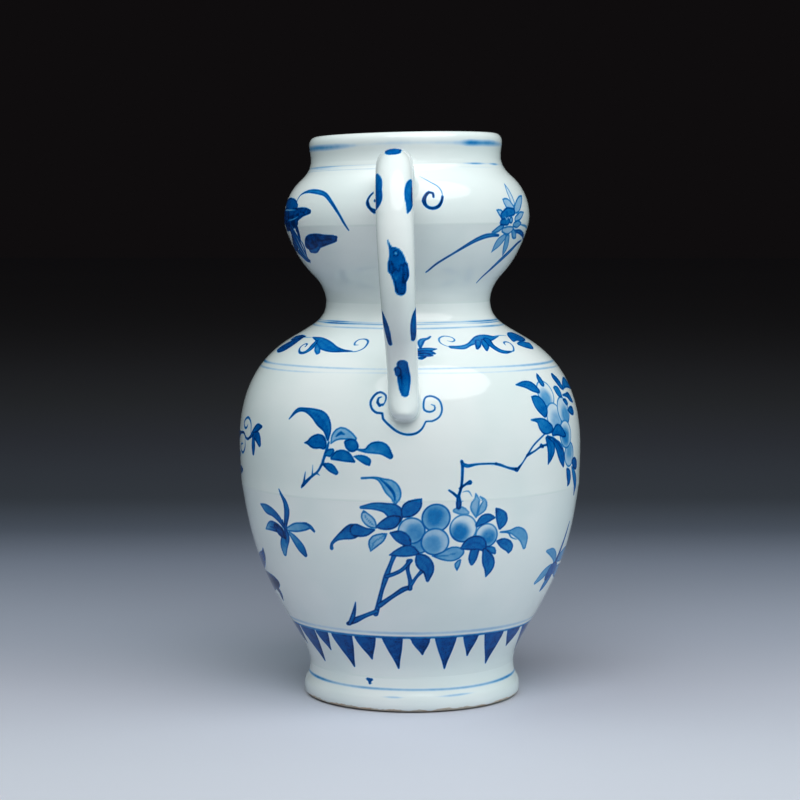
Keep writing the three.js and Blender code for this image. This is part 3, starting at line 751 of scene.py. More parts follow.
peachSpray = dict(facing=12, height=80, marks=[
    wash((-16.6, -14.2, 1.0), (-18.2, -19, 0.8), (-19.6, -24, 1.1), (-21, -30, 0.8), (-21.8, -35, 0.9),
         (-22.8, -41.4, 1.0), tone=(0.75, 0.85)),
    wash((-10.6, -28.8, 0.9), (-12.8, -29.6, 1.1), (-17, -33, 0.9), (-21.5, -37, 1.2), tone=(0.97, 0.85)),
    wash((-22.6, -40, 1.0), (-27, -42.4, 1.0), (-31, -45, 1.4), (-34, -47, 0.9), tone=(0.75, 0.92)),
    wash((-31.3, -36.3, 0.2), (-31.6, -40, 0.7), (-32.4, -44.5, 1.1), (-33.4, -47, 0.9), tone=(0.85, 0.9)),
    wash((-11.4, -17.5, 0.9), (-11.6, -21, 0.7), (-10.4, -26, 0.8), (-10.3, -29.3, 0.9), tone=(0.8, 0.88)),
    wash((-10.6, -17.3, 0.8), (-13.5, -20.9, 0.8), (-16.5, -22.8, 0.8), (-19.5, -24, 0.9), tone=(0.78, 0.84)),
    wash((-10, -27.5, 0.8), (-8, -24, 0.6), (-5.6, -21, 1.0), tone=(0.7, 0.78)),
    wash((-31.5, -5.3, 1.6), (-33.5, -6, 3.0), (-37, -7.6, 1.9), (-40, -9.4, 0.9), (-42, -11.6, 0.6),
         (-42, -13.3, 0.8), tone=(0.9, 0.72), shade=-0.08),
    wash((-32, -5.5, 2.6), (-28.5, -6, 1.8), (-25, -5.1, 0.5), tone=(0.88, 0.78)),
    wash((-17, 5.2, 0.5), (-16.8, 8.5, 2.2), (-18.5, 11.3, 2.9), (-21.5, 13.6, 1.4), (-24.5, 15, 0.5),
         (-29.8, 14.8, 0.4), tone=(0.45, 0.5), edge=0.3),
    line((-17, 6), (-17.4, 9), (-19.6, 12), (-22.6, 14.6), half=0.5, tone=0.8),
    wash((-15.2, -1.2, 0.8), (-17, 1.8, 3.0), (-20.5, 3.6, 2.0), (-25, 4.2, 1.4), (-30, 3.6, 0.6),
         tone=(0.82, 0.66), rib=0.1),
    wash((-29, 2.3, 0.3), (-28.3, 0, 1.8), (-26.4, -2, 2.1), (-24.3, -4, 0.6), tone=(0.35, 0.35), edge=0.35,
         rib=0.25),
    wash((-23.8, -3.8, 0.5), (-21, -3, 2.0), (-18, -1.8, 2.6), (-15.6, -0.2, 1.0), tone=(0.82, 0.92)),
    wash((-20, -6.5, 0.3), (-22.5, -8.3, 1.9), (-24.8, -10, 2.2), (-26, -13.6, 0.3), tone=(0.4, 0.45),
         edge=0.35, rib=0.2),
    fruit(-7.6, -10.2, 4.2, core=0.5, rim=0.4),
    fruit(-10.6, -5.2, 5.3, core=0.5, rim=0.26, towards=(1.6, -0.8)),
    wash((-18.4, -6.2, 0.5), (-15, -7.5, 2.3), (-12.6, -9.4, 2.0), (-11.6, -12, 0.6), tone=(0.84, 0.92)),
    wash((-18.6, -15, 0.3), (-14.5, -13.8, 1.9), (-11.5, -13.2, 2.4), (-8.5, -14, 1.0), tone=(0.74, 0.86)),
    fruit(-1.4, -0.3, 5.6, core=0.6, rim=0.36, towards=(-0.5, 0.5)),
    fruit(-1.6, -9.7, 5.5, core=0.46, rim=0.26, towards=(-1, -1)),
    fruit(9.3, -4.7, 5.6, core=0.62, rim=0.14, towards=(-1.4, -1.6)),
    fruit(19, -8, 4.9, core=0.56, rim=0.16, towards=(0.8, -0.8)),
    wash((-13.4, 1.2, 1.3), (-11.5, 3.2, 3.0), (-9.2, 4.8, 2.3), (-7.1, 7.1, 0.3), tone=(0.9, 0.84)),
    wash((-7.8, -15.3, 1.0), (-5.8, -18, 3.0), (-3.8, -21, 2.3), (-3.8, -25.6, 0.7), tone=(0.84, 0.9),
         rib=0.1),
    wash((-2.4, -15.4, 0.3), (2, -15.5, 1.9), (5.5, -14.8, 3.0), (8.1, -14.2, 1.9), tone=(0.46, 0.5),
         edge=0.3, rib=0.2),
    wash((8.4, -17.6, 0.5), (7.4, -19.3, 1.2), (7.4, -21.8, 0.2), tone=(0.45, 0.6), edge=0.3),
    wash((14.2, -14, 1.9), (13.5, -17, 1.8), (13.3, -19.2, 0.8), tone=(0.84, 0.78)),
    wash((9, -12.5, 0.7), (12.5, -11, 2.6), (16, -11, 2.7), (18.6, -14, 0.8), tone=(0.84, 0.9), rib=0.1),
    wash((18.4, -14, 1.0), (20.2, -18.5, 2.7), (20.6, -21.5, 2.0), (19.6, -25.2, 0.3), tone=(0.85, 0.78),
         rib=0.1),
    wash((19.6, -13.2, 0.9), (21.8, -14.2, 1.4), (22.9, -15.4, 0.6), tone=(0.76, 0.7)),
    wash((24, -10.8, 0.6), (26.8, -11.8, 2.1), (29.3, -13.4, 2.1), (29.4, -15.8, 0.5), tone=(0.82, 0.74),
         rib=0.1),
    wash((25, -7.1, 0.3), (29.5, -7.3, 0.8), (33.5, -7.9, 2.3), (36.5, -10.2, 2.4), (37.3, -14.3, 1.0),
         tone=(0.55, 0.48), edge=0.22),
    line((25, -7.2), (28.6, -7.6), (30.2, -9.6), (33, -10.8), half=0.3, tone=0.7),
    wash((22.8, 2.3, 0.4), (24.5, 0.2, 1.9), (25.6, -2, 2.6), (24.8, -5.3, 0.8), tone=(0.84, 0.76), rib=0.1),
    wash((15, -3.6, 0.9), (17.5, -1.6, 1.9), (20, -1, 1.5), (22.2, -1.2, 0.4), tone=(0.76, 0.82)),
    wash((14.3, -0.5, 0.4), (13.6, 3.5, 1.9), (14.4, 6.3, 1.2), (14, 8.6, 0.3), tone=(0.45, 0.4), edge=0.22),
    wash((14.9, 0, 0.3), (17, 3, 1.6), (17.6, 5.6, 0.9), (15.8, 7.4, 0.3), tone=(0.45, 0.42), edge=0.22),
    wash((5.8, 2.4, 0.9), (8.3, 2.3, 1.7), (10.8, 1.4, 0.8), tone=(0.45, 0.42), edge=0.18),
    line((8.6, 9.4), (11, 9.7), (12.5, 7.6), half=0.3, tone=0.5),
    wash((8.3, 21.2, 0.5), (8.7, 18.5, 0.55), (8.3, 12, 0.5), (7.2, 8, 0.6), (7.2, 5.8, 1.1), (7.2, 3.8, 1.0),
         tone=(0.72, 1.0)),
    wash((7.7, 10.8, 0.45), (10, 12.4, 0.45), (11.6, 13, 0.9), tone=(0.85, 0.97)),
    wash((3.4, 10.3, 0.3), (5.2, 9, 0.45), (6.7, 7.6, 0.5), tone=(0.92, 0.85)),
    wash((8.6, 20.3, 0.6), (10.5, 19.3, 0.7), (15, 19.8, 0.38), (21, 19.7, 0.35), (24, 19.2, 0.5),
         (28, 17.8, 0.4), (32.2, 16.8, 0.7), tone=(0.7, 0.74)),
    fruit(8.5, 20.9, 0.55, core=0.85, rim=0.85),
    fruit(22.6, 19.6, 0.5, core=0.85, rim=0.85),
    fruit(31.8, 16.9, 0.75, core=0.9, rim=0.85),
])
sideSpray = dict(facing=60, height=90, marks=[
    wash((-25.4, 6.6, 0.7), (-22.6, 9.3, 0.3), (-20.2, 12, 0.4), (-16.2, 15.8, 0.34), (-9, 19.7, 0.32),
         tone=(0.85, 0.62)),
    wash((-20.4, 11.8, 0.5), (-16, 13.3, 0.35), (-12, 14.8, 0.4), (-5, 15.2, 0.4), tone=(0.85, 0.75)),
    wash((-12.4, 15, 0.8), (-11.3, 14.6, 0.6), tone=(0.97, 0.97)),
    fruit(-3.2, 34.8, 5.6, core=0.42, rim=0.1, towards=(-1, -2)),
    fruit(-1.4, 25.5, 5.6, core=0.34, rim=0.14, towards=(1, -2)),
    fruit(7.6, 27.2, 5.7, core=0.46, rim=0.16, towards=(1, -2)),
    fruit(9.4, 9.8, 5.0, core=0.4, rim=0.22, towards=(0, 1.5)),
    fruit(6.4, 18, 5.6, core=0.55, rim=0.14, towards=(-0.5, -1)),
    wash((-18.5, 39.4, 0.3), (-14, 39.3, 1.5), (-10.4, 38.2, 2.2), (-7.8, 36.4, 1.2), tone=(0.66, 0.86),
         rib=0.12),
    wash((-2.9, 43.3, 0.3), (-3.3, 41.2, 1.5), (-3, 39.3, 1.5), (-2.7, 38.4, 0.6), tone=(0.86, 0.8)),
    wash((-12.8, 34, 0.4), (-9.9, 31.3, 3.1), (-8, 28.5, 2.6), (-8, 26, 0.5), tone=(0.7, 0.88), rib=0.1),
    wash((-16.5, 25.2, 0.3), (-12.6, 24.6, 1.1), (-9.5, 22.3, 3.0), (-5.6, 21.2, 1.9), tone=(0.6, 0.84),
         rib=0.1),
    wash((-4, 19, 1.0), (0, 20.2, 2.3), (4, 18.4, 1.5), (6, 17.4, 0.5), tone=(0.8, 0.9)),
    wash((-8.7, 17.5, 0.8), (-6, 13.8, 2.6), (-6.5, 10.8, 1.8), (-8, 7.6, 0.3), tone=(0.82, 0.86), rib=0.1),
    wash((-4.5, 16.8, 0.5), (-0.5, 13.5, 2.2), (2, 9.8, 2.5), (3.6, 6, 0.8), tone=(0.74, 0.95), rib=0.1),
    wash((4.8, 36.5, 0.6), (7.3, 35, 2.3), (9.3, 33, 0.6), tone=(0.7, 0.76)),
    wash((9.5, 41, 1.8), (12, 38, 2.2), (13.5, 35.6, 0.6), tone=(0.92, 0.85)),
    wash((13.5, 35.6, 0.4), (18, 37.3, 1.6), (24, 37.6, 2.4), (30, 36, 1.7), (35, 34.5, 0.4),
         tone=(0.78, 0.84)),
    wash((10.8, 33.2, 0.3), (15.5, 32.8, 1.0), (19, 31.8, 1.9), (23, 29.6, 0.5), tone=(0.8, 0.9)),
    wash((9.8, 31.2, 0.5), (12.3, 30.3, 1.4), (13.8, 29.6, 0.4), tone=(0.85, 0.85)),
    wash((12, 27, 0.3), (15.5, 26.6, 1.7), (18.5, 26.3, 1.7), (20, 26, 0.4), tone=(0.85, 0.9)),
    wash((13, 6.7, 0.8), (15.8, 5.8, 2.3), (18.6, 4.8, 2.0), (20.2, 4, 0.5), tone=(0.92, 0.96)),
    wash((7.2, 4, 0.7), (9.3, 1.6, 2.2), (9.6, -0.6, 1.7), (8.2, -2.5, 0.3), tone=(0.9, 0.86)),
    wash((12.5, 4.5, 0.4), (15.5, 1.5, 1.8), (18.4, -2.2, 2.4), (18.3, -6.8, 0.8), tone=(0.7, 0.9)),
    wash((-8, 18.2, 0.5), (-3, 16.6, 0.5), (2, 12.6, 0.4), tone=(0.8, 0.8)),
])
sideFlower = dict(facing=60, height=90, marks=[
    wash((-1, -28, 0.6), (4, -29.2, 1.8), (8.5, -32, 1.6), (11, -35.5, 0.8), tone=(0.5, 0.58), edge=0.15),
    wash((-2.2, -41.5, 0.9), (1.8, -38.6, 2.2), (6, -36.5, 1.8), (10, -35.8, 0.6), tone=(0.5, 0.62),
         edge=0.15),
    wash((12, -33.6, 1.0), (18, -32.6, 2.7), (25, -32.4, 2.8), (33, -33, 0.8), tone=(0.62, 0.52)),
    wash((13, -38, 1.2), (19, -39.5, 2.9), (26, -40.8, 2.7), (33, -42.5, 0.8), tone=(0.66, 0.52)),
    wash((5.4, -46.3, 0.5), (7.6, -43.5, 2.1), (11, -39.8, 1.9), tone=(0.66, 0.8)),
    wash((12, -33.5, 1.3), (15.2, -26, 1.1), (18.3, -18.6, 0.5), tone=(0.95, 0.8)),
    wash((6.8, -40, 2.0), (9.6, -37.6, 3.2), (13.2, -37.6, 2.6), tone=(0.95, 0.9)),
])
sprig = dict(facing=-65, height=90, marks=[
    wash((2.5, 16.5, 0.6), (6, 19, 1.4), (9, 20.8, 1.6), (12.3, 21.4, 0.5), tone=(0.9, 0.97)),
    wash((6, 17.8, 1.2), (9.5, 17, 2.2), (11.3, 14.6, 1.2), tone=(0.97, 0.9)),
    wash((5.5, 17, 1.0), (5.8, 13.5, 1.7), (5.6, 10.6, 1.0), tone=(0.95, 0.88)),
    line((3, 17.5), (2, 22), (-2, 23.9), (-6, 22.8), (-7.4, 21.3), (-5.5, 19.6), (-2.5, 19.9), (-1.5, 21.2),
         half=0.5, tone=0.75),
    wash((-30, 14.4, 1.6), (-24, 15, 2.4), (-18.5, 15.7, 1.9), (-14, 16.7, 0.7), (-10, 17.3, 0.5),
         (-6.5, 17.4, 0.5), (-3, 15.8, 0.5), (0, 15.6, 0.5), (3, 17, 0.6), tone=(0.9, 0.9)),
    wash((-30, 8, 1.4), (-24, 7.6, 2.0), (-18, 7.9, 1.2), (-14.5, 8.6, 0.4), tone=(0.7, 0.5)),
    line((-4.5, 15.6), (-4.3, 12), (-8, 9.5), (-12.5, 10), (-12, 12.4), (-8, 13), half=0.5, tone=0.75),
    wash((-23, 1, 1.0), (-17, 1.8, 1.7), (-11, 2.3, 0.6), tone=(0.9, 0.85)),
    wash((-22, -37, 2.2), (-14, -36.5, 3.0), (-7, -34.3, 3.0), (-1.5, -31.5, 1.8), (0.6, -28.6, 0.4),
         tone=(1.0, 1.0)),
    wash((-24, -43, 2.0), (-15, -43, 3.4), (-8, -43, 3.4), (0, -43, 3.0), (3.4, -42.8, 1.6), tone=(1.1, 1.2)),
    wash((-22, -47, 2.4), (-12, -46.6, 2.6), (-5, -46.4, 1.2), tone=(1.1, 1.1)),
    wash((-3, -45, 2.0), (0.2, -47.6, 1.8), (-1.5, -51.6, 0.6), tone=(1.2, 1.2)),
])
scrollLeft = dict(facing=-42, height=143, marks=[
    line((-20, 3.6), (-15, 4.2), (-9, 4.8), half=0.3, tone=0.5),
    wash((-9, 4.8, 0.35), (-4, 3.7, 1.5), (0, 1.7, 2.4), (4, -0.3, 2.6), (9, -2.2, 1.8), (13.5, -2.9, 0.9),
         (17.5, -3.1, 0.4), tone=(0.74, 0.84), rib=0.1),
    line((16.5, -3.1), (19.5, -3.2), (21.5, -1), (20.5, 3), (18, 5), (15.6, 4.6), (15.4, 2.5), (16.5, 0.8),
         (17.8, 0.9), half=0.34, tone=0.72),
    wash((-4, 2.5, 0.8), (-3.4, 0, 1.3), (-3, -2.8, 1.4), (-4.5, -5, 0.9), (-7.2, -5.2, 0.55),
         (-9.5, -3.5, 0.4), (-10.2, -1.5, 0.35), (-9, 0.2, 0.35), (-7.4, -0.3, 0.35), (-7.2, -1.6, 0.3),
         tone=(0.85, 0.75)),
    wash((-1, -0.5, 0.8), (1, -2.6, 1.3), (3.2, -4.8, 0.9), tone=(0.66, 0.7)),
    wash((-31, -4.6, 1.0), (-26, -3.4, 3.2), (-22, -1.6, 3.8), (-19, 0.8, 2.4), (-16.6, 3.6, 0.6),
         tone=(1.05, 1.1)),
    wash((-27, 2.6, 1.6), (-21, 3.8, 1.8), (-15.6, 4.8, 0.4), tone=(1.0, 1.1)),
])
scrollRight = dict(facing=42, height=143, marks=[
    wash((-17.5, -0.4, 0.9), (-13, -0.6, 1.2), (-9, 1, 0.9), (-5, 3, 1.6), (-1, 4.6, 2.4), (3, 5.2, 2.3),
         (7, 5.3, 0.9), (10, 6, 0.4), tone=(0.66, 0.8)),
    wash((-3.5, 3, 1.2), (-5.3, 0.5, 1.2), (-7.3, -1.8, 0.5), tone=(0.74, 0.84)),
    wash((-0.5, 3, 1.4), (-2, 0, 1.5), (-3.6, -2.9, 0.5), tone=(0.78, 0.84)),
    wash((1.5, 3.5, 1.8), (1, 0, 1.5), (2.4, -3.1, 1.4), (5, -4.4, 1.0), (8.4, -4.4, 0.45), tone=(0.84, 0.8)),
    line((8, -4.4), (10.7, -3.9), (12.8, -1), (12.3, 1.2), (10.2, 1.7), (8.8, 0.8), (8.7, -0.4), half=0.38,
         tone=0.75),
    line((7, 5.3), (11, 6.3), (16, 5.8), half=0.3, tone=0.5),
    line((-17.5, -0.5), (-19.5, 1), (-20, 3), (-18.5, 5.8), (-15.5, 7.3), (-13, 6.2), (-13.2, 4.2),
         (-15, 3.2), (-16.4, 4), half=0.32, tone=0.6),
    wash((16.5, 2, 0.8), (20, 4.5, 2.8), (26, 4, 3.2), (31, 3, 1.2), tone=(0.84, 0.94)),
    wash((18, -0.5, 0.8), (22, -1, 2.2), (27, -2, 2.2), (30, -1, 0.8), tone=(0.8, 0.86)),
    wash((-30, -1, 0.3), (-28, 2.3, 1.0), (-25.6, 4.8, 0.9), (-23, 5.8, 0.5), (-21, 7.3, 0.25),
         tone=(0.7, 0.62)),
])
shoulderFlower = dict(facing=0, height=120, marks=[
    wash((5.0, 27.4, 0.7), (7.4, 27.6, 1.1), (10, 27.6, 1.2), (12.9, 28, 0.3), tone=(0.8, 0.7)),
    wash((5.4, 26, 0.7), (8, 26.3, 1.0), (10.6, 25.9, 1.1), (12.4, 25.2, 0.4), tone=(0.95, 0.78)),
    wash((5.6, 24.5, 0.7), (8.2, 24.7, 1.1), (10.6, 24.3, 0.7), (11.6, 24.1, 0.3), tone=(0.9, 0.8)),
    wash((5.8, 22.9, 0.3), (7.4, 22.8, 0.8), (8.8, 23.4, 0.4), tone=(0.8, 0.85)),
])
rootCloud = dict(facing=0, height=120, again=1.0, marks=[
    wash((-6.9, 2.6, 0.25), (-8.2, 2.0, 0.5), (-9, 3.2, 0.5), (-8.6, 5, 0.3), (-7.6, 5.4, 0.2),
         tone=(0.8, 0.8)),
    line((-7, 2), (-6.1, 3.6), (-5.9, 6), (-8, 7.3), (-10, 6.2), (-11.7, 3.3), (-11, 0.5), (-9.2, -0.8),
         (-7.2, -1), (-6.9, -3), (-4.5, -5.5), (-1.5, -7.8), (2, -8.9), (5.5, -8.4), (7.8, -6.6), (9.2, -4),
         (10, -3.9), half=0.42, tone=0.86),
    line((8.2, -6.1), (9.2, -4), (11.5, -3.9), (14.2, -2.4), (15.3, 0.5), (14.3, 4), (11.5, 5.7), (9, 5.2),
         (8.3, 2.6), (8.6, 0.4), (10.6, -0.4), (12.5, 0.4), (12.4, 2), (11.2, 2.5), half=0.34, tone=0.76),
])
iris = dict(facing=-50, height=190, marks=[
    wash((-8.6, 8.5, 0.3), (-9, 10.5, 0.3), (-7.5, 13, 0.35), (-4, 14.3, 0.6), (0, 14.6, 0.9), (5, 14, 1.0),
         (9.5, 12.6, 0.8), (14, 9, 0.65), (18, 4.5, 0.5), (20, 1, 0.45), (21.3, -1.8, 0.25), tone=(0.7, 0.8)),
    wash((-27, 10.2, 1.0), (-20, 9.8, 2.4), (-12, 9, 2.4), (-8, 8.3, 1.0), tone=(1.1, 0.95)),
    wash((-31, 3.5, 1.0), (-24, 4.5, 3.6), (-16, 4, 3.2), (-9, 4.6, 3.0), (-3, 5.8, 2.0), (0, 6, 1.5),
         (2.2, 5.9, 0.9), tone=(1.15, 1.1), rib=0.1),
    wash((-22, 0, 2.0), (-14, 1.4, 2.8), (-8, 2, 1.8), tone=(1.2, 1.2)),
    wash((-8.5, -0.5, 1.5), (-8.4, -4, 1.1), (-10, -7, 0.6), tone=(1.2, 1.1)),
    line((-24, 7), (-17, 6.9), (-9, 6.8), half=0.32, tone=0.3),
    line((-17, 2.6), (-11, 3), (-6, 4), half=0.3, tone=0.42),
    line((-13, 0.4), (-10.4, -3), (-10.2, -6), half=0.3, tone=0.42),
    wash((-24, -10, 0.6), (-18, -8.4, 2.5), (-15, -4.5, 2.0), (-13, -2, 0.8), tone=(0.95, 1.05)),
    wash((-8.2, -15.2, 0.5), (-11.5, -14.4, 1.6), (-15.5, -11.8, 1.6), (-20, -11.4, 0.5), tone=(0.8, 0.95),
         edge=0.15),
    line((-12.6, -3), (-13.6, -7), (-11.5, -11), (-9, -14.5), half=0.5, tone=0.8),
    line((-9.4, -4), (-7.4, -8), (-8.6, -12), (-10.5, -15), half=0.5, tone=0.75),
    wash((-15, -1.5, 2.2), (-12.6, -6, 3.4), (-11.4, -10.6, 2.7), (-9.2, -16, 0.5), tone=(1.05, 0.85)),
    line((-11.4, -4.5), (-10.4, -8.6), (-9.6, -13.6), half=0.3, tone=0.12),
    line((-14.6, -6), (-13, -9.8), (-10.6, -13.8), half=0.26, tone=0.3),
    wash((-4.7, -8.4, 1.4), (-1, -7.2, 3.4), (4, -6.1, 3.1), (9, -5.7, 2.2), (13.2, -5.2, 1.5),
         (14.6, -4.6, 0.6), tone=(1.15, 1.1), rib=0.1),
    wash((-3.5, -10.6, 0.9), (0, -10.4, 1.2), (3, -9, 0.9), tone=(0.9, 0.88)),
])
waterFlower = dict(facing=45, height=190, marks=[
    wash((16, -3.2, 0.6), (21, -3.5, 0.9), (28, -5, 0.8), (34, -7, 0.3), tone=(0.8, 0.88)),
    line((17, -0.3), (28, -1.3), (34, -2.4), half=0.5, tone=0.5),
    wash((4.3, -27, 0.25), (8, -20.5, 0.7), (12.5, -15.5, 1.0), (18, -11.5, 1.0), (23, -8.5, 0.7),
         (28, -7.2, 0.4), tone=(0.72, 0.86)),
    wash((-22, -20.8, 0.4), (-19.5, -16.5, 0.5), (-14, -11.7, 0.5), (-8, -7.5, 0.8), (-3, -5.3, 1.0),
         (1.5, -4.7, 0.8), (5, -4.9, 0.5), tone=(0.74, 0.7)),
    wash((3.8, -12, 0.2), (6.3, -8, 2.0), (9, -5.6, 1.5), tone=(0.4, 0.46), edge=0.26),
    wash((12.4, -13.5, 0.3), (12.3, -10, 1.8), (11.5, -6, 1.6), tone=(0.5, 0.46), edge=0.26),
    wash((12, 16, 0.3), (12.4, 12.5, 1.4), (13.6, 8, 1.6), tone=(0.2, 0.16), edge=0.42),
    wash((6.8, 9.4, 0.2), (9.5, 7.8, 2.1), (12.5, 6, 1.6), tone=(0.34, 0.3), edge=0.42),
    wash((2.2, 5.2, 0.2), (4.3, 4.2, 1.3), (6.4, 2.3, 1.4), tone=(0.36, 0.34), edge=0.42),
    wash((25, 11, 0.2), (21, 9, 1.8), (17, 6.3, 2.2), (14.5, 4.6, 1.0), tone=(0.38, 0.36), edge=0.4),
    wash((23.2, 4.2, 0.3), (19.5, 3, 1.6), (15.5, 1.7, 1.3), tone=(0.34, 0.4), edge=0.42),
    wash((20.5, -0.2, 0.5), (17.5, -0.4, 1.6), (14.5, -0.6, 1.1), tone=(0.5, 0.45), edge=0.36),
    wash((19, -6, 0.4), (16.5, -4.8, 1.6), (14, -2.8, 1.0), tone=(0.5, 0.5), edge=0.32),
    wash((1, -3.4, 0.4), (3.5, -2.6, 1.2), (6, -1.2, 1.2), tone=(0.5, 0.55), edge=0.3),
    wash((6, 3, 1.6), (9, 4.2, 2.0), (13.2, 4.4, 1.5), tone=(0.82, 0.8)),
    wash((5.6, 0.4, 1.3), (9, 0.6, 1.6), tone=(0.8, 0.74)),
    wash((7.4, -2.7, 1.2), (10.5, -2.9, 1.8), (13.2, -2.4, 1.2), tone=(0.34, 0.3), edge=0.42),
    line((7.2, 2.4), (8.4, 1.6), (9.6, 2.6), half=0.35, tone=0.3),
    fruit(11.6, 1.2, 1.4, core=0.42, rim=0.4),
    fruit(8.6, 3.9, 0.7, core=0.4, rim=0.4),
])
rootScrollRight = dict(facing=45, height=190, again=1.0, marks=[
    wash((-25.1, 10.7, 0.4), (-24.9, 12.3, 0.45), (-26.2, 12.7, 0.5), (-28, 11.3, 0.55), (-29.2, 9, 0.8),
         (-28.5, 7, 0.6), (-26.4, 6.2, 0.6), (-24, 6.9, 0.6), (-22.4, 8.8, 0.5), (-21.5, 10.8, 0.45),
         tone=(0.95, 0.95)),
    line((-21.5, 10.8), (-21.2, 13), (-22, 15.4), (-24, 17.4), (-26.3, 20.4), half=0.28, tone=0.5),
])
rootScrollLeft = dict(facing=-50, height=190, again=1.0, marks=[
    wash((31.8, 14.2, 0.35), (30.1, 12.4, 0.4), (29.3, 9.9, 0.45), (29.8, 8.2, 0.65), (31, 6.6, 0.5),
         (32.8, 5.5, 0.85), (34.6, 5.6, 0.6), tone=(0.95, 0.98)),
    fruit(32.6, 9.8, 0.75, core=0.8, rim=0.7),
])
footSpot = dict(facing=0, height=30, turns=(0,), marks=[
    wash((-16.0, -19.4, 0.55), (-15.1, -19.7, 0.7), (-14.2, -19.5, 0.5), tone=(0.8, 0.8)),
    wash((-15.1, -19.8, 0.7), (-15, -20.9, 0.5), tone=(0.9, 0.8)),
])
ringLines = [
    dict(height=221.3, half=0.85, soft=1.3, tone=0.15, patchy=0.5, wobble=0.25, seed=1.0,
         heaps=[(-62, 26, 0.32), (44, 5, 0.36), (58, 20, 0.3)]),
    dict(height=213.5, half=0.35, soft=0.7, tone=0.13, patchy=0.6, wobble=0.2, seed=2.0,
         heaps=[(-58, 30, 0.22), (47, 6, 0.45), (66, 5, 0.4)]),
    dict(height=212.1, half=0.35, soft=0.7, tone=0.12, patchy=0.6, wobble=0.2, seed=3.3,
         heaps=[(-58, 32, 0.2)]),
    dict(height=151.3, half=0.72, soft=0.7, tone=0.32, patchy=0.3, wobble=0.25, seed=5.76,
         heaps=[(-50, 12, 0.55), (62, 14, 0.33)]),
    dict(height=149.6, half=0.5, soft=0.7, tone=0.27, patchy=0.35, wobble=0.2, seed=5.2,
         heaps=[(60, 12, 0.2)]),
    dict(height=135.2, half=0.45, soft=0.7, tone=0.23, patchy=0.3, wobble=0.15, seed=6.0,
         heaps=[(-78, 10, 0.3), (65, 18, 0.15)]),
    dict(height=133.4, half=0.4, soft=0.7, tone=0.17, patchy=0.35, wobble=0.3, seed=7.4,
         heaps=[(-70, 16, 0.12), (70, 14, 0.15)]),
    dict(height=32.8, half=0.75, soft=0.9, tone=0.21, patchy=0.3, wobble=0.12, seed=8.8),
    dict(height=30.9, half=0.55, soft=0.45, tone=0.62, patchy=0.25, wobble=0.1, seed=9.1),
    dict(height=9.0, half=0.42, soft=0.6, tone=0.32, patchy=0.3, wobble=0.15, seed=10.3,
         heaps=[(-62, 18, 0.3), (64, 14, 0.35)]),
    dict(height=6.4, half=0.3, soft=0.8, tone=0.04, patchy=0.9, wobble=0.2, seed=11.6,
         heaps=[(-7, 5, 0.26), (27, 9, 0.32)]),
]

# The band of hanging teeth above the foot, each from the left and right of its root to its tip, and
# how far it hangs. A tooth's course gives shares of its drop and of its half width.
teeth = [
    (-64.5, -54, -52.5, 9.5), (-53, -41.5, -38.5, 15.4), (-41, -33.5, -33.4, 9), (-32, -21.6, -21.8, 15.4),
    (-21, -11.6, -13.8, 11), (-9.5, -1, -3.2, 14.8), (1.5, 9.8, 6.2, 8.2), (11, 20.3, 14.8, 15.2),
    (22.6, 29.8, 24.6, 10), (32.3, 43, 34, 15), (45, 55, 46.4, 8.6), (56.5, 66, 59, 14.5), (67.5, 77, 70.5, 9),
]
tooth = dict(top=0.7, width=0.96, course=[(0, 1), (0.38, 0.68), (0.75, 0.3)], point=0.35)


def toothMark(left, right, tip, drop):
    middle, half = (left + right) / 2, (right - left) / 2 * tooth["width"]
    places = [(middle + (tip - middle) * share, tooth["top"] - drop * share, half * wide)
              for share, wide in tooth["course"]]
    places.append((tip, tooth["top"] - drop, tooth["point"]))
    return dict(wash(*places, tone=(0.98, 1.14), edge=0.12, shade=0.05), ceiling=tooth["top"])


bandTeeth = dict(facing=0, height=30, again=1.0, marks=[toothMark(*places) for places in teeth])

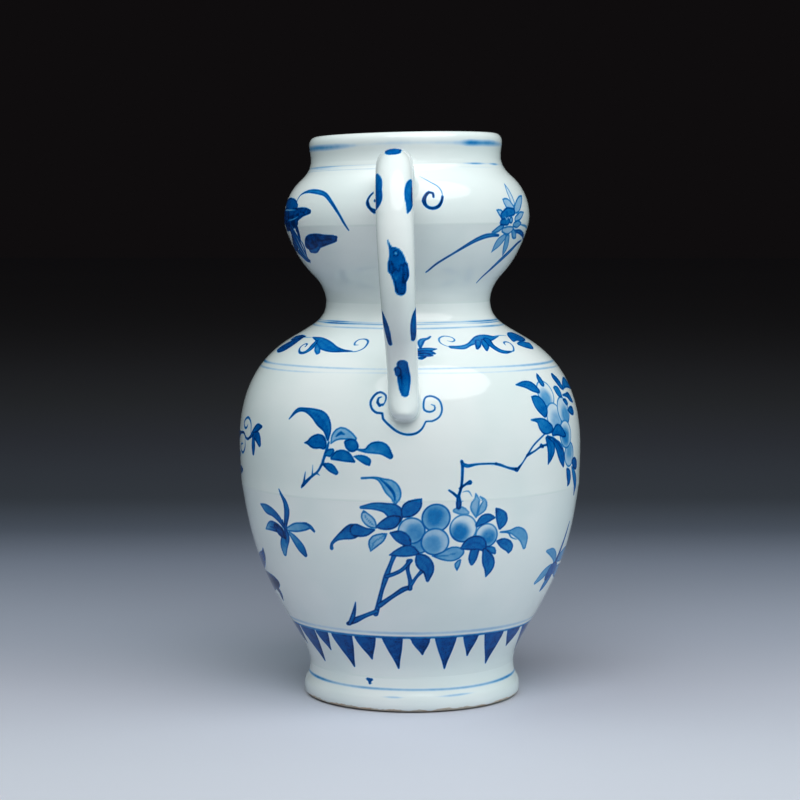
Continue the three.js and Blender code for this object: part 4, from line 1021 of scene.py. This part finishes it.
handleMarks = [
    wash((-0.3, 15, 2.2), (-0.3, 19, 2.9), (-0.2, 22.8, 3.0), (-0.2, 25.8, 2.8), tone=(0.8, 0.9), edge=0.25),
    wash((-8.6, 37.5, 3.2), (-8.1, 40.1, 4.2), (-8.3, 42.5, 4.0), (-8.1, 44.9, 4.2), (-8.2, 46.1, 3.0),
         tone=(0.8, 1.0), edge=0.15),
    wash((8.6, 39.4, 2.4), (7.6, 41.4, 3.0), (6.9, 44.6, 3.0), (6.3, 47.7, 1.8), (5.1, 51, 0.3),
         tone=(0.8, 0.9), edge=0.15),
    wash((9.4, 41.2, 1.6), (9.2, 45.2, 1.8), tone=(1.1, 1.0)),
    wash((-2.4, 60.6, 0.15), (-1.5, 63.2, 0.6), (0.1, 65.3, 2.1), (0.6, 68.2, 3.0), (0.9, 71.4, 3.0),
         (1.2, 74.6, 2.3), (1.3, 78, 1.9), tone=(0.82, 1.05), edge=0.16),
    wash((-1.8, 68.4, 0.9), (-1.6, 71.2, 1.2), tone=(1.0, 1.05)),
    wash((3.3, 69.4, 1.1), (3.4, 73, 1.3), (2.6, 75, 0.8), tone=(1.0, 1.1)),
    fruit(0.2, 65.1, 1.1, core=0.42, rim=0.5),
    line((-1.6, 68.8), (0.8, 71.4), (1.8, 68.8), half=0.4, tone=0.97),
    line((-1.2, 71.8), (-0.2, 74.4), (0.4, 72.8), half=0.3, tone=0.6),
    wash((-11, 88.9, 2.2), (-8.8, 88.1, 2.3), (-6.3, 90.1, 1.8), (-4.9, 93.5, 1.5), (-4.0, 98.1, 1.0),
         tone=(0.95, 1.1)),
    wash((10.8, 88.4, 3.2), (8.3, 88.8, 3.2), (6.8, 91.8, 2.7), (5.6, 96, 1.5), tone=(0.85, 1.05)),
    wash((0.3, 107.3, 2.0), (0.4, 109.4, 2.1), (0.6, 113.5, 2.4), (0.6, 118, 2.0), (0.7, 120.9, 1.4),
         tone=(0.95, 0.85), edge=0.2),
    wash((-1.5, 109.8, 1.4), (-1.4, 111.6, 1.2), tone=(0.95, 0.95)),
    line((-0.2, 110.4), (-0.3, 114.4), (-0.2, 118), half=0.35, tone=0.96),
    wash((14, 56, 0.8), (13.4, 60, 2.2), (14.4, 64, 1.2), tone=(0.84, 0.8)),
    wash((-14.2, 63, 1.0), (-14.6, 67.5, 2.3), (-13.6, 72, 1.0), tone=(0.8, 0.88)),
    wash((17.6, 104, 1.2), (17.9, 108, 2.2), (17.2, 111.5, 0.9), tone=(0.85, 0.8)),
    wash((13, 17, 1.0), (13.6, 20.5, 2.0), (12.8, 24, 0.8), tone=(0.8, 0.85)),
    wash((-13, 16, 1.0), (-13.4, 19.5, 2.0), (-12.6, 23, 0.8), tone=(0.85, 0.8)),
]
paintMarks = [mark for group in (
    leafSpray, orchid, peachSpray, sideSpray, sideFlower, sprig, scrollLeft, scrollRight, shoulderFlower,
    rootCloud, iris, waterFlower, rootScrollRight, rootScrollLeft, footSpot, bandTeeth)
    for mark in toMarks(group)]
print("painted marks laid out:", len(paintMarks), "and", len(ringLines), "ring lines")


# Materials
def linear(hexColour):
    shares = [int(hexColour[i:i + 2], 16) / 255 for i in (0, 2, 4)]
    return (*(((s + 0.055) / 1.055) ** 2.4 if s > 0.04045 else s / 12.92 for s in shares), 1.0)


def addNode(owner, kind, inputs=None, **settings):
    # a node in a material's or the world's tree; an input is a value, or a socket to link
    node = owner.node_tree.nodes.new(kind)
    for name, value in settings.items():
        setattr(node, name, value)
    for socket, value in (inputs or {}).items():
        if isinstance(value, bpy.types.NodeSocket):
            owner.node_tree.links.new(value, node.inputs[socket])
        else:
            node.inputs[socket].default_value = value
    return node


def newMaterial(name):
    material = bpy.data.materials.new(name)
    material.use_nodes = True
    material.node_tree.nodes.clear()
    surface = addNode(material, "ShaderNodeBsdfPrincipled")
    addNode(material, "ShaderNodeOutputMaterial", dict(Surface=surface.outputs[0]))
    return material, surface


def fillRamp(node, stops):
    ramp = node.color_ramp
    while len(ramp.elements) < len(stops):
        ramp.elements.new(0.5)
    for element, (place, colour) in zip(ramp.elements, stops):
        element.position = place
        element.color = linear(colour)


def ranged(owner, value, low, high, toLow=0.0, toHigh=1.0, smooth=True):
    kind = "SMOOTHSTEP" if smooth else "LINEAR"
    return addNode(owner, "ShaderNodeMapRange", {0: value, 1: low, 2: high, 3: toLow, 4: toHigh},
                   interpolation_type=kind).outputs[0]


def maths(owner, operation, first, second):
    return addNode(owner, "ShaderNodeMath", {0: first, 1: second}, operation=operation).outputs[0]


def mixed(owner, share, first, second):
    return addNode(owner, "ShaderNodeMix", {0: share, 6: first, 7: second}, data_type="RGBA").outputs[2]


def noise(owner, place, size, detail):
    # size is the pattern's grain in millimetres
    inputs = dict(Vector=place, Scale=1 / (size * mm), Detail=detail, Roughness=0.5)
    return addNode(owner, "ShaderNodeTexNoise", inputs).outputs[0]


def grain(owner, place, size, detail, low, high, toLow=0.0, toHigh=1.0, smooth=True):
    # the same noise, stretched from one range to another
    return ranged(owner, noise(owner, place, size, detail), low, high, toLow, toHigh, smooth)


# Porcelain under a clear, faintly blue lime glaze, painted before glazing with cobalt that spreads a
# little and gathers into darker specks; the fired glaze is glossy, with a soft orange-peel surface.
glaze = dict(
    white="ecf1f0", coolWhite="e2ebea", slip="e3ebe9", ior=1.5,
    cobalt=[(0.0, "ecf1f0"), (0.16, "bcd6ea"), (0.4, "5c9fcf"), (0.58, "1778bb"), (0.74, "005aa6"),
            (0.9, "00428a"), (1.0, "02285c")],
    cover=(0.02, 0.2),
    cloud=dict(size=38, detail=2.0, low=0.35, high=0.65),
    pooled=dict(size=2.6, detail=3.0, low=0.3, high=0.7, toLow=0.92, toHigh=1.07),
    specks=dict(size=0.55, detail=1.0, low=0.56, high=0.7, toHigh=0.1), speckedFrom=(0.45, 0.85),
    roughness=dict(size=9.0, detail=2.0, low=0.3, high=0.7, toLow=0.035, toHigh=0.085),
    shine=dict(low=0.1, high=0.6, toLow=0.5, toHigh=0.12),
    peel=dict(size=5.0, detail=1.0), peelDepth=0.03,
    rings=dict(size=4.0, detail=1.0), ringDepth=0.08, ringStretch=(0.12, 0.12, 1.0),
)


def glazeMaterial(name, white, bareEdge=False):
    material, surface = newMaterial(name)
    place = addNode(material, "ShaderNodeTexCoord").outputs["Object"]
    cobalt = addNode(material, "ShaderNodeAttribute", attribute_name="cobalt").outputs["Fac"]
    pooled = maths(material, "MULTIPLY", cobalt, grain(material, place, **glaze["pooled"]))
    specks = maths(material, "MULTIPLY", grain(material, place, **glaze["specks"]),
                   ranged(material, cobalt, *glaze["speckedFrom"]))
    strength = maths(material, "ADD", pooled, specks)
    ramp = addNode(material, "ShaderNodeValToRGB", dict(Fac=strength))
    fillRamp(ramp, glaze["cobalt"])
    cloud = grain(material, place, **glaze["cloud"])
    body = mixed(material, cloud, linear(white), linear(glaze["coolWhite"]))
    colour = mixed(material, ranged(material, strength, *glaze["cover"]), body, ramp.outputs[0])
    roughness = grain(material, place, **glaze["roughness"])
    if bareEdge:
        colour, roughness = footFinish(material, place, colour, roughness)
    inputs = dict(Vector=place, Scale=glaze["ringStretch"])
    stretched = addNode(material, "ShaderNodeMapping", inputs).outputs[0]
    peel = maths(material, "MULTIPLY", noise(material, place, **glaze["peel"]), glaze["peelDepth"])
    rings = maths(material, "MULTIPLY", noise(material, stretched, **glaze["rings"]), glaze["ringDepth"])
    height = maths(material, "ADD", peel, rings)
    relief = addNode(material, "ShaderNodeBump", dict(Strength=1.0, Distance=mm, Height=height)).outputs[0]
    shine = ranged(material, strength, **glaze["shine"])
    for socket, value in (("Base Color", colour), ("Roughness", roughness), ("Specular IOR Level", shine),
                          ("Normal", relief)):
        material.node_tree.links.new(value, surface.inputs[socket])
    surface.inputs["IOR"].default_value = glaze["ior"]
    return material


# The foot's standing edge is wiped clean before firing: bare biscuit below the first heights, and
# burnt orange towards the glaze between the second, which wander up and down a little
footEdge = dict(
    bare="c2b8a8", burnt="b98558", grit="857866", roughness=0.75, bareAt=(0.5, 0.9), burntAt=(-0.3, 1.0),
    wander=dict(size=7.0, detail=3.0, low=0.3, high=0.7, toHigh=1.5 * mm, smooth=False),
    patches=dict(size=5.0, detail=2.0, low=0.45, high=0.6, toHigh=0.8),
    specks=dict(size=0.6, detail=1.0, low=0.62, high=0.72, toHigh=0.6),
)


def footFinish(material, place, colour, roughness):
    height = addNode(material, "ShaderNodeSeparateXYZ", dict(Vector=place)).outputs["Z"]
    above = maths(material, "SUBTRACT", height, grain(material, place, **footEdge["wander"]))
    bare = ranged(material, above, *(h * mm for h in footEdge["bareAt"]), 1.0, 0.0)
    burnt = ranged(material, above, *(h * mm for h in footEdge["burntAt"]))
    burnt = maths(material, "MULTIPLY", burnt, grain(material, place, **footEdge["patches"]))
    biscuit = mixed(material, burnt, linear(footEdge["bare"]), linear(footEdge["burnt"]))
    biscuit = mixed(material, grain(material, place, **footEdge["specks"]), biscuit, linear(footEdge["grit"]))
    rough = addNode(material, "ShaderNodeMix", {0: bare, 2: roughness, 3: footEdge["roughness"]}).outputs[0]
    return mixed(material, bare, colour, biscuit), rough


glazedPorcelain = glazeMaterial("GlazedPorcelainCobaltPainted", glaze["white"])
glazedFoot = glazeMaterial("GlazedPorcelainFootWithBareEdge", glaze["white"], bareEdge=True)
lutingSlip = glazeMaterial("LutingSlipUnderGlaze", glaze["slip"])
print("materials made")


# Pieces
def finishPiece(piece, material, slotName, *nodes, angle=50):
    piece.data.materials.clear()
    piece.data.materials.append(material)
    deselect()
    piece.select_set(True)
    bpy.context.view_layer.objects.active = piece
    bpy.ops.object.shade_smooth_by_angle(angle=math.radians(angle))
    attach(piece, "root")
    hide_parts(*nodes)
    print(piece.name, "made:", sum(len(p.vertices) - 2 for p in piece.data.polygons), "triangles")


for (name, node), low, high in zip(bodyNodes.items(), sectionLows, sectionHighs):
    piece = turnPiece(name, sectionProfile(name, low, high))
    paintPiece(piece)
    if name == "FootRing":
        finishPiece(piece, glazedFoot, "glazed_foot", node)
    else:
        finishPiece(piece, glazedPorcelain, "glazed_porcelain", node)

for seam in ("foot", "belly", "waist", "bulb"):
    piece = turnPiece(seam.capitalize() + "Slip", slipProfile(seam))
    paintPiece(piece)
    finishPiece(piece, lutingSlip, "luting_slip", seam + "_seam_slip")

for side, front in (("Front", True), ("Back", False)):
    node = side.lower()
    finishPiece(handlePiece(side + "Handle", front), glazedPorcelain, "glazed_porcelain", node + "_handle")
    for end, upper in (("Upper", True), ("Lower", False)):
        piece = rootSlipPiece(side + end + "RootSlip", front, upper)
        storeTone(piece, "cobalt", np.zeros(len(piece.data.vertices)))
        finishPiece(piece, lutingSlip, "luting_slip", node + "_" + end.lower() + "_root_slip")
print("pieces made")

# Floor: a table with a long sheet of paper whose tones are painted shade: pale where the vase stands,
# dark a little in front of it, darker towards the back and at its sides where the light falls off, and
# lighter again far back to make up for the lamps' own falloff. Its stops say how far behind the vase,
# in metres, each tone lies.
view = dict(turn=2.6, reach=0.870, height=0.1889, pitch=4.608, lens=97.1, shift=-0.0125, film=36,
            clip=(0.05, 40))
paperAndPaintedShade = dict(
    size=24.0, near=-0.5, far=8.0, roughness=0.6, sheen=0.2, sides=(0.3, 0.5), sidesEnd=(0.3, 0.6),
    paintedSideShade="2c2e33",
    # painted shade and light: tones darken behind the vase, then lighten far back in place of the light's
    # falloff
    stops=[
        (-0.4, "2c2e33"), (-0.26, "cccdd8"), (-0.15, "cccfd9"), (0.0, "c1c4d1"), (0.11, "acb1c0"),
        (0.34, "8990a1"), (0.47, "636a78"), (0.62, "4f545d"), (0.8, "545862"), (1.03, "585a64"),
        (1.47, "636469"), (1.9, "6d6c72"), (2.7, "797579"), (4.6, "8f8688"), (7.0, "9a8f91"),
    ],
)


def buildFloor():
    deselect()
    bpy.ops.mesh.primitive_plane_add(size=paperAndPaintedShade["size"])
    floor = bpy.context.object
    floor.name = floor.data.name = "Floor"
    material, surface = newMaterial("PaperWithPaintedShade")
    place = addNode(material, "ShaderNodeTexCoord").outputs["Object"]
    turn = math.radians(view["turn"])
    behind, across = (
        addNode(material, "ShaderNodeVectorMath", {0: place, 1: way}, operation="DOT_PRODUCT").outputs["Value"]
        for way in ((-math.sin(turn), math.cos(turn), 0), (math.cos(turn), math.sin(turn), 0)))
    share = ranged(material, behind, paperAndPaintedShade["near"], paperAndPaintedShade["far"], smooth=False)
    ramp = addNode(material, "ShaderNodeValToRGB", dict(Fac=share))
    length = paperAndPaintedShade["far"] - paperAndPaintedShade["near"]
    fillRamp(ramp, [((reach - paperAndPaintedShade["near"]) / length, tone) for reach, tone in paperAndPaintedShade["stops"]])
    # the paper's sides are painted darker, as painted shade where the light falls off
    paintedSideShade = ranged(material, maths(material, "ABSOLUTE", across, 0.0), *paperAndPaintedShade["sides"])
    paintedSideShade = maths(material, "MULTIPLY", paintedSideShade, ranged(material, behind, *paperAndPaintedShade["sidesEnd"], 1.0, 0.0))
    colour = mixed(material, paintedSideShade, ramp.outputs[0], linear(paperAndPaintedShade["paintedSideShade"]))
    material.node_tree.links.new(colour, surface.inputs["Base Color"])
    surface.inputs["Roughness"].default_value = paperAndPaintedShade["roughness"]
    surface.inputs["Specular IOR Level"].default_value = paperAndPaintedShade["sheen"]
    floor.data.materials.append(material)


buildFloor()

# Light: one big oval soft box high to the right of the camera, which alone is mirrored in the glaze,
# and four fills. Turns go round from the front to the right, and all aim at the middle of the vase.
lamps = [
    dict(name="KeyBox", turn=27, lift=57, reach=0.95, size=(1.25, 0.73), power=6.8, colour="fff9f9",
         mirrored=True),
    dict(name="FrontFill", turn=0, lift=40, reach=1.3, size=(1.3, 0.8), power=6.3, colour="f0ffff"),
    dict(name="RightFill", turn=85, lift=15, reach=1.2, size=(0.9, 0.7), power=4.2, colour="e4ffff"),
    dict(name="LeftFill", turn=-75, lift=30, reach=1.2, size=(0.9, 0.7), power=0.6, colour="ebffff"),
    dict(name="HighLeftFill", turn=-72, lift=62, reach=1.2, size=(0.8, 0.8), power=4, colour="f2ffff"),
]
aimedAt = Vector((0, 0, 0.12))


def buildLamp(name, turn, lift, reach, size, power, colour, mirrored=False):
    bpy.ops.object.light_add(type="AREA")
    light = bpy.context.object
    light.name = light.data.name = name
    light.data.shape = "ELLIPSE"
    light.data.size, light.data.size_y = size
    light.data.energy = power
    light.data.color = linear(colour)[:3]
    light.visible_glossy = mirrored
    turn, lift = math.radians(turn), math.radians(lift)
    way = Vector((math.cos(lift) * math.sin(turn), -math.cos(lift) * math.cos(turn), math.sin(lift)))
    light.location = aimedAt + way * reach
    light.rotation_euler = (-way).to_track_quat("-Z", "Y").to_euler()


for lamp in lamps:
    buildLamp(**lamp)

# The room is dark: a little fill on what stands in it, and darker where it is seen or mirrored
room = dict(fill="1e2022", seen="0f0d0e")


def buildRoom():
    world = bpy.data.worlds.new("DarkRoom")
    bpy.context.scene.world = world
    world.use_nodes = True
    rays = addNode(world, "ShaderNodeLightPath").outputs
    seen = maths(world, "MAXIMUM", rays["Is Camera Ray"], rays["Is Glossy Ray"])
    dark = mixed(world, seen, linear(room["fill"]), linear(room["seen"]))
    world.node_tree.links.new(dark, world.node_tree.nodes["Background"].inputs["Color"])


def placeCamera():
    bpy.ops.object.camera_add()
    camera = bpy.context.object
    camera.name = "PhotoView"
    turn = math.radians(view["turn"])
    camera.location = (view["reach"] * math.sin(turn), -view["reach"] * math.cos(turn), view["height"])
    camera.rotation_euler = (math.radians(90 - view["pitch"]), 0, turn)
    camera.data.lens = view["lens"]
    camera.data.sensor_width = view["film"]
    camera.data.shift_x = view["shift"]
    camera.data.clip_start, camera.data.clip_end = view["clip"]
    bpy.context.scene.camera = camera


buildRoom()
placeCamera()
bpy.context.scene.view_settings.view_transform = "Standard"
print("camera and lamps placed")
